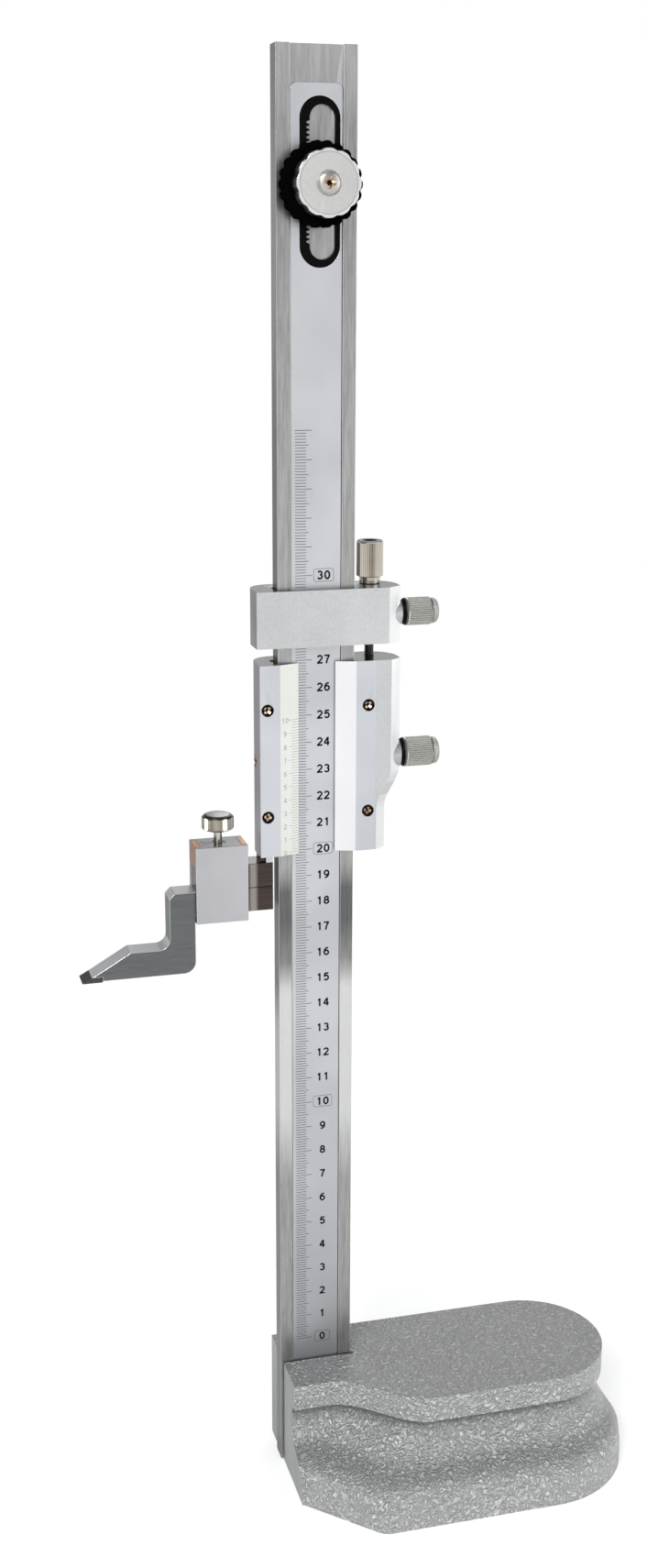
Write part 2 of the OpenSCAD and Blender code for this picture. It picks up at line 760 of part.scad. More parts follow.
module clamp_knob(z, d, l) {
    r = d / 2;
    color("gray") at_slider() along_x(knob_start, clamp_y, z) difference() {
        rotate_extrude() polygon([
            [0, 0], [r - 0.8, 0], [r, 0.9], [r, l - 2.8], [r - 0.5, l - 2.5], [r - 0.5, l - 2.2],
            [r - 0.3, l - 1.9], [r - 0.5, l - 0.9], [r - 1.3, l], [0, l]
        ]);
        translate([0, 0, -over])
            cylinder(d = clamp_screw_d + 2 * fit_gap, h = over + knob_grip * l + fit_gap);
    }
}

module slider_clamp_pad() { clamp_pad(clamp_z); }
module slider_clamp_screw() { clamp_screw(clamp_z, slider_knob_l); }
module slider_clamp_knob() { clamp_knob(clamp_z, slider_knob_d, slider_knob_l); }
module carrier_clamp_pad() { clamp_pad(carrier_clamp_z); }
module carrier_clamp_screw() { clamp_screw(carrier_clamp_z, carrier_knob_l); }
module carrier_clamp_knob() { clamp_knob(carrier_clamp_z, carrier_knob_d, carrier_knob_l); }

module carrier_plan() {
    difference() {
        polygon(concat(
            block_plan(-carrier_left, carrier_right_x, -carrier_front, back_depth, left_back_r),
            [[carrier_right_x - bevel_run - 1, -carrier_front]]
        ));
        translate([-spring_room, -slide_gap])
            square([spring_room + channel_right, slide_gap + channel_back]);
        translate([feed_x, feed_y]) circle(d = sleeve_d + 2 * turn_gap);
    }
}

module feed_carrier() {
    color("gainsboro") at_slider() difference() {
        union() {
            translate([0, 0, carrier_bottom]) linear_extrude(carrier_h) carrier_plan();
            clamp_boss(carrier_clamp_z, carrier_knob_d - 0.4);
        }
        clamp_bore(carrier_clamp_z);
        along_y(feed_x + groove_r + pin_d / 2 + turn_gap, feed_y, pin_z)
            cylinder(d = pin_d + 2 * fit_gap, h = back_depth);
    }
}

// A leaf that bows from its two ends in the carrier to its middle at the beam
module carrier_leaf_spring() {
    t = 0.3;
    half = carrier_h / 2 - 0.6;
    bow = spring_room - t - 2 * slide_gap;
    steps = 12;
    function leaf(s) = [-slide_gap - bow * s * s, half * s];
    outline = concat(
        [for (i = [-steps:steps]) leaf(i / steps)],
        [for (i = [steps:-1:-steps]) leaf(i / steps) - [t, 0]]
    );
    color("darkgray") at_slider() translate([0, 0, carrier_clamp_z]) upright(0.6, beam_t - 1.2)
        polygon(outline);
}

module feed_nut() {
    color("silver") at_slider() translate([feed_x, feed_y, 0]) rotate_extrude() polygon([
        [feed_screw_d / 2 + turn_gap, carrier_bottom + 0.6], [sleeve_d / 2, carrier_bottom + 0.6],
        [sleeve_d / 2, pin_z - pin_d / 2 - turn_gap], [groove_r, pin_z - pin_d / 2 - turn_gap],
        [groove_r, pin_z + pin_d / 2 + turn_gap], [sleeve_d / 2, pin_z + pin_d / 2 + turn_gap],
        [sleeve_d / 2, carrier_top + turn_gap], [neck_d / 2, carrier_top + turn_gap],
        [neck_d / 2, carrier_top + neck_h], [feed_nut_d / 2, carrier_top + neck_h],
        [feed_nut_d / 2, nut_top - 0.4], [feed_nut_d / 2 - 0.4, nut_top],
        [feed_screw_d / 2 + 0.8, nut_top], [feed_screw_d / 2 + 0.8, nut_top - 6.4],
        [feed_screw_d / 2 + turn_gap, nut_top - 6.4]
    ]);
}

module nut_pin() {
    color("dimgray") at_slider() along_y(feed_x + groove_r + pin_d / 2 + turn_gap, feed_y + fit_gap, pin_z)
        cylinder(d = pin_d, h = back_depth - feed_y - 1.2);
}

module feed_screw() {
    color("dimgray") at_slider() translate([feed_x, feed_y, slider_top - feed_screw_deep + fit_gap])
        cylinder(d = feed_screw_d, h = feed_screw_deep + carrier_gap + carrier_h + 1.8);
}

module measuring_jaw() {
    color("lightslategray") at_slider() difference() {
        union() {
            translate([-jaw_reach, jaw_y, jaw_bottom]) cube([jaw_reach + jaw_right, shank, shank]);
            translate([tang_x, tang_y, jaw_bottom + over])
                cube([tang_t, tang_d, tang_top - jaw_bottom - over]);
        }
        for (z = dowel_z) along_x(tang_x - over, dowel_y, z)
            cylinder(d = dowel_d + 2 * fit_gap, h = tang_t + 2 * over);
    }
}

module jaw_dowels() {
    color("silver") at_slider() for (z = dowel_z) along_x(left_x + 0.6, dowel_y, z)
        cylinder(d = dowel_d, h = jaw_right - left_x - 0.7);
}

module scriber_clamp_box() {
    color("gainsboro") at_slider() difference() {
        translate([box_left, box_y, box_bottom]) cube([box_w, box_d, box_top - box_bottom]);
        translate([box_left - over, jaw_y - turn_gap, window_bottom])
            cube([box_w + 2 * over, shank + 2 * turn_gap, window_top - window_bottom]);
        translate([thumb_x, thumb_y, window_top - over])
            cylinder(d = stem_d + 2 * turn_gap, h = box_top - window_top + 2 * over);
        translate([thumb_x, thumb_y, box_top - 0.4]) cylinder(d = stem_d + 2.4, h = over);
        for (side = [0, 1]) translate([side * (box_left + box_right), 0, 0]) mirror([side, 0, 0])
            translate([box_left - over, jaw_y - turn_gap, window_bottom]) {
                cube([over + clip_t + fit_gap, shank + 2 * turn_gap, box_top - window_bottom + over]);
                translate([0, 0, box_top - clip_t - fit_gap - window_bottom])
                    cube([over + clip_t + tab_l + fit_gap, shank + 2 * turn_gap, clip_t + over]);
            }
    }
}

module clamp_clip() {
    color("peru") at_slider() upright(jaw_y, shank) {
        translate([box_left, clip_z]) square([box_w, clip_t]);
        for (side = [0, 1]) translate([side * (box_left + box_right), 0]) mirror([side, 0]) {
            translate([box_left, clip_z]) square([clip_t, box_top - clip_z]);
            translate([box_left, box_top - clip_t]) square([clip_t + tab_l, clip_t]);
        }
    }
}

module thumb_screw() {
    low = box_top + thumb_rise;
    color("silver") at_slider() translate([thumb_x, thumb_y, 0]) rotate_extrude() polygon([
        [0, thumb_seat], [stem_d / 2 - 0.3, thumb_seat], [stem_d / 2, thumb_seat + 0.3], [stem_d / 2, low],
        [thumb_d / 2 - 0.6, low], [thumb_d / 2, low + 0.6], [thumb_d / 2, low + thumb_h - 0.6],
        [thumb_d / 2 - 0.6, low + thumb_h], [0, low + thumb_h]
    ]);
}

module scriber_outline() {
    left = upright_right - upright_w;
    steel_low = -drop + insert_proud;
    heel_r = 4.5;
    inner_r = 4;
    slope_x = tip_x + 17.7;
    chamfer = 2;
    polygon(concat(
        [[jaw_right, shank_bottom], [upright_right, shank_bottom]],
        arc(upright_right - heel_r, steel_low + heel_r, heel_r, 0, -90, 8),
        [[tip_x + insert_l, steel_low], [tip_x + insert_l, -drop + insert_t],
         [tip_x + insert_t * 17.7 / scriber_foot_h, -drop + insert_t], [slope_x, foot_top]],
        arc(left - inner_r, foot_top + inner_r, inner_r, -90, 0, 8),
        [[left, shank_top - chamfer], [left + chamfer, shank_top], [jaw_right, shank_top]]
    ));
}

module scriber() {
    color("lightslategray") at_slider() upright(jaw_y, shank) scriber_outline();
}

module carbide_tip() {
    back = tip_x + insert_l - fit_gap;
    top = -drop + insert_t - fit_gap;
    color("dimgray") at_slider() upright(jaw_y, shank) polygon([
        [tip_x, -drop], [back, -drop], [back, top], [tip_x + insert_t * 17.7 / scriber_foot_h, top]
    ]);
}

base_casting();
beam();
beam_screws();
scale_plate();
rack_frame();
knob_stud();
pinion_gear();
scale_feed_knob();
scale_lock_knob();
lock_knob_screw();
feed_carrier();
carrier_leaf_spring();
carrier_clamp_pad();
carrier_clamp_screw();
carrier_clamp_knob();
feed_nut();
nut_pin();
feed_screw();
slider_body();
slider_gib();
gib_screw();
vernier_plate();
vernier_plate_screws();
guide_plate();
guide_plate_screws();
slider_clamp_pad();
slider_clamp_screw();
slider_clamp_knob();
measuring_jaw();
jaw_dowels();
scriber_clamp_box();
clamp_clip();
thumb_screw();
scriber();
carbide_tip();
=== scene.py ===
import bpy
import bmesh
from math import atan2, cos, dist, hypot, pi, radians, sin, sqrt
from mathutils import Matrix, Vector


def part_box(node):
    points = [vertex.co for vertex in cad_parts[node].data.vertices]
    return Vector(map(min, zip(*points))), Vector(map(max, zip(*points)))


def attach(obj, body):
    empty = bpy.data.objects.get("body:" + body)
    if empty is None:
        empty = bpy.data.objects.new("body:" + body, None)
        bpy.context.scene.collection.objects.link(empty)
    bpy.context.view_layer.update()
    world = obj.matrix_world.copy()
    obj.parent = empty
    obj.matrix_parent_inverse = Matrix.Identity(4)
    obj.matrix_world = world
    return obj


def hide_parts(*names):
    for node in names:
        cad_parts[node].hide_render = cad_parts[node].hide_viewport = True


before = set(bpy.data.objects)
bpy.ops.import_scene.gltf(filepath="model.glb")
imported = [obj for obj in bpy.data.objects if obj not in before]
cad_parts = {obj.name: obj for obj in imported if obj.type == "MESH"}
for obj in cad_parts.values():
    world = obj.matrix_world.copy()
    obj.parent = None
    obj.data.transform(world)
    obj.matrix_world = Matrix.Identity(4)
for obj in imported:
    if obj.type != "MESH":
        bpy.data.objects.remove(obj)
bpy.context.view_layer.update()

mm = 0.001
beamCorner = Vector((-67.45, 17.3, 0.0))  # beam's left front edge at the surface plate, in mm
vernierZero = 252.8  # height of the vernier's zero line at rest, in mm


def onBeam(x, y, z):  # x from the beam's left edge, y back from its front, z from the surface plate
    return (Vector((x, y, z)) + beamCorner) * mm


def onSlider(x, y, z):  # as on the beam, with z from the vernier's zero line
    return onBeam(x, y, z + vernierZero)


def boxOnSlider(node):  # the lowest and highest corner of a node, in mm, in the slider's own frame
    shift = beamCorner + Vector((0.0, 0.0, vernierZero))
    return [Vector(corner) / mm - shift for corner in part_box(node)]


def placed(name, data):  # an object in the scene for a mesh, a lamp or a camera
    thing = bpy.data.objects.new(name, data)
    bpy.context.scene.collection.objects.link(thing)
    return thing


# nodes, for finishes and for shapes
def step(tree, kind, *feeds, **settings):  # one node with its settings, values and links
    made = tree.nodes.new(kind)
    for name, value in settings.items():
        setattr(made, name, value)
    for socket, value in feeds:
        if isinstance(value, bpy.types.NodeSocket):
            tree.links.new(value, made.inputs[socket])
        else:
            made.inputs[socket].default_value = value
    return made


def flow(tree, kind, *feeds, **settings):  # the first output of such a node
    return step(tree, kind, *feeds, **settings).outputs[0]


def calc(tree, operation, a, b=0.0):
    return flow(tree, "ShaderNodeMath", (0, a), (1, b), operation=operation)


def vector(tree, **parts):  # X, Y and Z put together
    return flow(tree, "ShaderNodeCombineXYZ", *parts.items())


def between(tree, source, low, high, start=0.3, stop=0.7, ease="LINEAR"):  # start to stop becomes low to high
    return flow(tree, "ShaderNodeMapRange", ("Value", source), ("From Min", start), ("From Max", stop),
                ("To Min", low), ("To Max", high), interpolation_type=ease)


# camera, light and floor
cameraPlan = {
    "place": (-0.218631, -0.609570, 0.454027), "turn": 14.999, "dip": 15.255, "roll": 0.121, "lens": 42.84,
}


def setCamera(plan):
    turn, dip, roll = (radians(plan[k]) for k in ("turn", "dip", "roll"))
    ahead = Vector((sin(turn) * cos(dip), cos(turn) * cos(dip), -sin(dip)))
    right = Vector((cos(turn), -sin(turn), 0.0))
    up = right.cross(ahead)
    right = right * cos(roll) + up * sin(roll)
    up = right.cross(ahead)
    data = bpy.data.cameras.new("photoCamera")
    data.lens = plan["lens"]
    data.clip_start, data.clip_end = 0.01, 50.0
    camera = placed("photoCamera", data)
    facing = Matrix((right, up, -ahead)).transposed().to_4x4()
    camera.matrix_world = Matrix.Translation(plan["place"]) @ facing
    bpy.context.scene.camera = camera


setCamera(cameraPlan)

lampPlan = {
    "key": {"place": (-1.1, -1.5, 1.5), "aim": (0.0, 0.0, 0.2), "size": 0.9, "power": 30.0},
    "fill": {"place": (1.6, -1.0, 0.9), "aim": (0.0, 0.0, 0.25), "size": 1.6, "power": 9.0},
    "back": {"place": (0.7, 1.6, 1.3), "aim": (0.0, 0.0, 0.25), "size": 1.2, "power": 5.0},
}
for lampName, plan in lampPlan.items():
    lamp = bpy.data.lights.new(lampName, "AREA")
    lamp.shape = "SQUARE"
    lamp.size = plan["size"]
    lamp.energy = plan["power"]
    holder = placed(lampName, lamp)
    holder.location = plan["place"]
    holder.rotation_euler = (Vector(plan["aim"]) - Vector(plan["place"])).to_track_quat("-Z", "Y").to_euler()

bpy.context.scene.view_settings.view_transform = "Standard"


def mirrorRay(tree, light):  # 1 on a ray that was reflected or went through glass
    return calc(tree, "MAXIMUM", light.outputs["Is Glossy Ray"], light.outputs["Is Transmission Ray"])


roomPlan = {"soft": 0.52, "low": 0.92, "high": 0.26, "from": 0.0, "to": 0.27}


def paintRoom(plan):  # white to the camera; metal sees a white room with a grey ceiling
    world = bpy.data.worlds.new("room")
    world.use_nodes = True
    tree = world.node_tree
    tree.nodes.clear()
    light = step(tree, "ShaderNodeLightPath")
    where = step(tree, "ShaderNodeTexCoord").outputs["Generated"]
    height = step(tree, "ShaderNodeSeparateXYZ", (0, where)).outputs["Z"]
    power = between(tree, height, plan["low"], plan["high"], plan["from"], plan["to"], "SMOOTHSTEP")
    soft = flow(tree, "ShaderNodeBackground", ("Color", (0.98, 0.99, 1.0, 1.0)), ("Strength", plan["soft"]))
    mirror = flow(tree, "ShaderNodeBackground", ("Color", (0.98, 0.985, 1.0, 1.0)), ("Strength", power))
    white = flow(tree, "ShaderNodeBackground", ("Color", (1.0, 1.0, 1.0, 1.0)), ("Strength", 1.0))
    lit = flow(tree, "ShaderNodeMixShader", (0, mirrorRay(tree, light)), (1, soft), (2, mirror))
    seen = flow(tree, "ShaderNodeMixShader", (0, light.outputs["Is Camera Ray"]), (1, lit), (2, white))
    step(tree, "ShaderNodeOutputWorld", ("Surface", seen))
    bpy.context.scene.world = world


paintRoom(roomPlan)

floorPlan = {
    "reach": 9.0, "pale": (0.80, 0.84), "lift": 0.36, "nearEnd": 0.45, "farStart": 0.95,
    "card": (0.55, 0.95), "cardWay": (0.6, -0.8, 0.0), "cardEdge": (-0.7, 0.3),
}


def layFloor(plan):  # lit and shaded round the gauge, plain white further out, a grey card on its far left
    mesh = bpy.data.meshes.new("paleFloor")
    r = plan["reach"]
    mesh.from_pydata([(-r, -r, 0), (r, -r, 0), (r, r, 0), (-r, r, 0)], [], [(0, 1, 2, 3)])
    look = bpy.data.materials.new("palePaper")
    look.use_nodes = True
    tree = look.node_tree
    tree.nodes.clear()
    light = step(tree, "ShaderNodeLightPath")
    direct, shiny = light.outputs["Is Camera Ray"], mirrorRay(tree, light)
    where = step(tree, "ShaderNodeTexCoord").outputs["Object"]
    fibre = flow(tree, "ShaderNodeTexNoise", ("Vector", where), ("Scale", 60.0), ("Detail", 3.0))
    matt = flow(tree, "ShaderNodeBsdfDiffuse", ("Color", between(tree, fibre, *plan["pale"], 0.0, 1.0)))
    glow = flow(tree, "ShaderNodeEmission", ("Strength", calc(tree, "MULTIPLY", direct, plan["lift"])))
    near = flow(tree, "ShaderNodeAddShader", (0, matt), (1, glow))
    away = step(tree, "ShaderNodeVectorMath", (0, where), operation="LENGTH").outputs["Value"]
    out = between(tree, away, 0.0, 1.0, plan["nearEnd"], plan["farStart"], "SMOOTHSTEP")
    way = flow(tree, "ShaderNodeVectorMath", (0, where), operation="NORMALIZE")
    side = step(tree, "ShaderNodeVectorMath", (0, way), (1, plan["cardWay"]), operation="DOT_PRODUCT")
    card = between(tree, side.outputs["Value"], *plan["card"], *plan["cardEdge"], "SMOOTHSTEP")
    power = flow(tree, "ShaderNodeMix", (0, shiny), (2, 1.0), (3, card))
    far = flow(tree, "ShaderNodeEmission", ("Strength", power))
    amount = calc(tree, "MULTIPLY", calc(tree, "MAXIMUM", direct, shiny), out)
    step(tree, "ShaderNodeOutputMaterial",
         ("Surface", flow(tree, "ShaderNodeMixShader", (0, amount), (1, near), (2, far))))
    mesh.materials.append(look)
    floor = placed("paleFloor", mesh)


layFloor(floorPlan)
print("camera, lamps, room and floor are set")


# finishes
def tint(*colour):  # an everyday 0..255 colour as the shader wants it
    shares = [c / 255 for c in colour]
    return (*(c / 12.92 if c <= 0.04045 else ((c + 0.055) / 1.055) ** 2.4 for c in shares), 1.0)


def newLook(name, metallic, roughness, **sockets):
    look = bpy.data.materials.new(name)
    look.use_nodes = True
    shader = look.node_tree.nodes["Principled BSDF"]
    shader.inputs["Metallic"].default_value = metallic
    shader.inputs["Roughness"].default_value = roughness
    for socket, value in sockets.items():
        shader.inputs[socket.replace("_", " ")].default_value = value
    return look, look.node_tree, shader


def mapped(tree, **settings):  # the piece's own coordinates, stretched or moved
    where = step(tree, "ShaderNodeTexCoord").outputs["Object"]
    return flow(tree, "ShaderNodeMapping", ("Vector", where), *settings.items())


def along(tree, axis):  # one of those coordinates, in metres
    where = step(tree, "ShaderNodeTexCoord").outputs["Object"]
    return step(tree, "ShaderNodeSeparateXYZ", (0, where)).outputs[axis]


def noise(tree, scale, stretch=(1, 1, 1), detail=3.0, rough=0.5, bend=0.0):
    return flow(tree, "ShaderNodeTexNoise", ("Vector", mapped(tree, Scale=stretch)), ("Scale", scale),
                ("Detail", detail), ("Roughness", rough), ("Distortion", bend))


def shades(tree, source, *stops):  # a colour ramp between two (place, colour) pairs
    ramp = step(tree, "ShaderNodeValToRGB", (0, source))
    for element, (place, colour) in zip(ramp.color_ramp.elements, stops):
        element.position, element.color = place, tint(*colour)
    return ramp.outputs[0]


def dress(tree, shader, tone, rough):  # the colour and the roughness of a finish
    tree.links.new(tone, shader.inputs["Base Color"])
    tree.links.new(rough, shader.inputs["Roughness"])


def relief(tree, shader, height, strength, depth):  # bump, stacked on any that is there already
    there = shader.inputs["Normal"].links
    bump = step(tree, "ShaderNodeBump", ("Height", height), ("Strength", strength), ("Distance", depth * mm))
    if there:
        tree.links.new(there[0].from_socket, bump.inputs["Normal"])
    tree.links.new(bump.outputs[0], shader.inputs["Normal"])


def blend(tree, factor, first, second):  # one colour over another
    return step(tree, "ShaderNodeMix", (0, factor), (6, first), (7, second), data_type="RGBA").outputs[2]


def overlay(tree, factor, tone):  # a colour over the one that the finish has already
    base = tree.nodes["Principled BSDF"].inputs["Base Color"]
    tree.links.new(blend(tree, factor, base.links[0].from_socket, tint(*tone)), base)


def brushed(name, dark, light, grainWay, rough, streak=1.0, scales=(420, 2300)):
    # grainWay is the stretch of the grain: small along the brushing, large across it
    look, tree, shader = newLook(name, 1.0, 0.35)
    wide = noise(tree, scales[0], grainWay, 3.0, 0.6)
    fine = noise(tree, scales[1], grainWay, 2.0, 0.6)
    grain = calc(tree, "MULTIPLY", calc(tree, "ADD", wide, fine), 0.5)
    dress(tree, shader, shades(tree, grain, (0.38, dark), (0.62, light)), between(tree, wide, *rough))
    relief(tree, shader, fine, 0.2 * streak, 0.02)
    return look


def rubbed(look, *zones):  # stretches of an upright bar in another tone, with low, high and softness in mm; on the beam they are painted reflections
    tree = look.node_tree
    for low, high, tone, amount, soft in zones:
        height = along(tree, "Z")
        rise = between(tree, height, 0.0, amount, (low - 14) * mm, (low + 14) * mm)
        fall = between(tree, height, 1.0, 0.0, (high - soft) * mm, (high + soft) * mm)
        overlay(tree, calc(tree, "MULTIPLY", rise, fall), tone)
    return look


def banded(look, x, half, tone, amount):  # a painted highlight: a soft light band across the bar, x from the beam's left edge
    tree = look.node_tree
    away = calc(tree, "ABSOLUTE", calc(tree, "SUBTRACT", along(tree, "X"), (x + beamCorner.x) * mm))
    overlay(tree, between(tree, away, amount, 0.0, 0.35 * half * mm, half * mm), tone)
    return look


def satin(name, dark, light, rough=(0.3, 0.4), grain=900, strength=0.12, metallic=1.0, speckle=0.0):
    look, tree, shader = newLook(name, metallic, 0.4)
    cloud = noise(tree, 35, detail=2.0)
    speck = noise(tree, grain * 3, detail=2.0)
    tone = shades(tree, cloud, (0.35, dark), (0.65, light))
    if speckle:  # small sparkling grains, as blasting leaves them
        grains = between(tree, noise(tree, grain, detail=1.0), 0.0, speckle, 0.35, 0.65)
        tone = blend(tree, grains, tone, (0.25, 0.25, 0.26, 1.0))
    dress(tree, shader, tone, between(tree, speck, *rough))
    relief(tree, shader, speck, strength, 0.012)
    return look


facePlan = {
    "rimFrom": 9.7, "rim": (244, 244, 245), "groove": (196, 196, 197), "grooveHalf": 0.16, "polish": 0.18,
}


def spunFace(name, dark, light, plan):  # a blasted disc inside a turned bright rim
    look = satin(name, dark, light, (0.36, 0.46), 2600, 0.25, speckle=0.14)
    tree = look.node_tree
    low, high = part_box("scale_lock_knob")
    axis = (low + high) / 2 / mm
    flat = mapped(tree, Scale=(1 / mm, 0.0, 1 / mm), Location=(-axis.x, 0.0, -axis.z))
    away = step(tree, "ShaderNodeVectorMath", (0, flat), operation="LENGTH").outputs["Value"]
    onRim = between(tree, away, 0.0, 1.0, plan["rimFrom"] - 0.05, plan["rimFrom"] + 0.05)
    overlay(tree, onRim, plan["rim"])
    overlay(tree, flow(tree, "ShaderNodeMath", (0, away), (1, plan["rimFrom"]), (2, plan["grooveHalf"]),
                       operation="COMPARE"), plan["groove"])
    rough = tree.nodes["Principled BSDF"].inputs["Roughness"]
    polish = calc(tree, "MULTIPLY", onRim, -plan["polish"])
    tree.links.new(calc(tree, "ADD", rough.links[0].from_socket, polish), rough)
    return look


enamelPlan = {
    "wrinkle": 520, "grain": 1500, "swell": 110, "dark": (182, 183, 183), "light": (230, 231, 231),
    "shade": (78, 78, 78), "fullHeight": 50.0, "shadeTop": 0.4,  # painted shade at heights; shadeAt: (share of fullHeight, amount)
    "shadeAt": ((0.25, 0.0), (0.32, 0.34), (0.41, 0.0), (0.5, 0.08), (0.58, 0.42), (0.655, 0.8), (0.664, 0.0),
                (0.862, 0.0), (0.868, 0.4)),
}


def hammertone(plan):  # thick enamel that dried in small winding wrinkles
    look, tree, shader = newLook("hammertoneEnamel", 0.45, 0.34, Coat_Weight=1.0, Coat_Roughness=0.24)
    field = noise(tree, plan["wrinkle"], detail=1.6, rough=0.55, bend=0.5)
    grain = noise(tree, plan["grain"], detail=1.5, bend=0.5)
    swell = noise(tree, plan["swell"], detail=2.0)
    ridge = between(tree, calc(tree, "ABSOLUTE", calc(tree, "SUBTRACT", field, 0.5)), 0.0, 1.0, 0.0, 0.3)
    # painted shade in the creases: the colour darkens along the wrinkles' folds
    dress(tree, shader, shades(tree, ridge, (0.0, plan["dark"]), (0.6, plan["light"])),
          between(tree, swell, 0.30, 0.40))
    # painted shade by height: darker in the crease above the foot, under the rim and on the deck
    height = calc(tree, "MULTIPLY", along(tree, "Z"), 1 / (plan["fullHeight"] * mm))
    shade = step(tree, "ShaderNodeFloatCurve", ("Value", height))
    points = shade.mapping.curves[0].points
    points[0].location, points[1].location = (0.0, 0.0), (1.0, plan["shadeTop"])
    for place, amount in plan["shadeAt"]:
        points.new(place, amount)
    shade.mapping.update()
    overlay(tree, shade.outputs[0], plan["shade"])
    for height, strength, depth in ((swell, 0.5, 0.5), (ridge, 1.0, 1.6), (grain, 0.8, 0.3)):
        relief(tree, shader, height, strength, depth)
    clear = flow(tree, "ShaderNodeBump", ("Height", ridge), ("Strength", 1.0), ("Distance", 0.3 * mm))
    tree.links.new(clear, shader.inputs["Coat Normal"])
    return look


def plastic(name, dark, light, rough=(0.3, 0.4), metallic=0.0, gloss=0.5):
    look, tree, shader = newLook(name, metallic, 0.45, Specular_IOR_Level=gloss)
    speck = noise(tree, 1600)
    dress(tree, shader, shades(tree, speck, (0.35, dark), (0.65, light)), between(tree, speck, *rough))
    relief(tree, shader, speck, 0.25, 0.03)
    return look


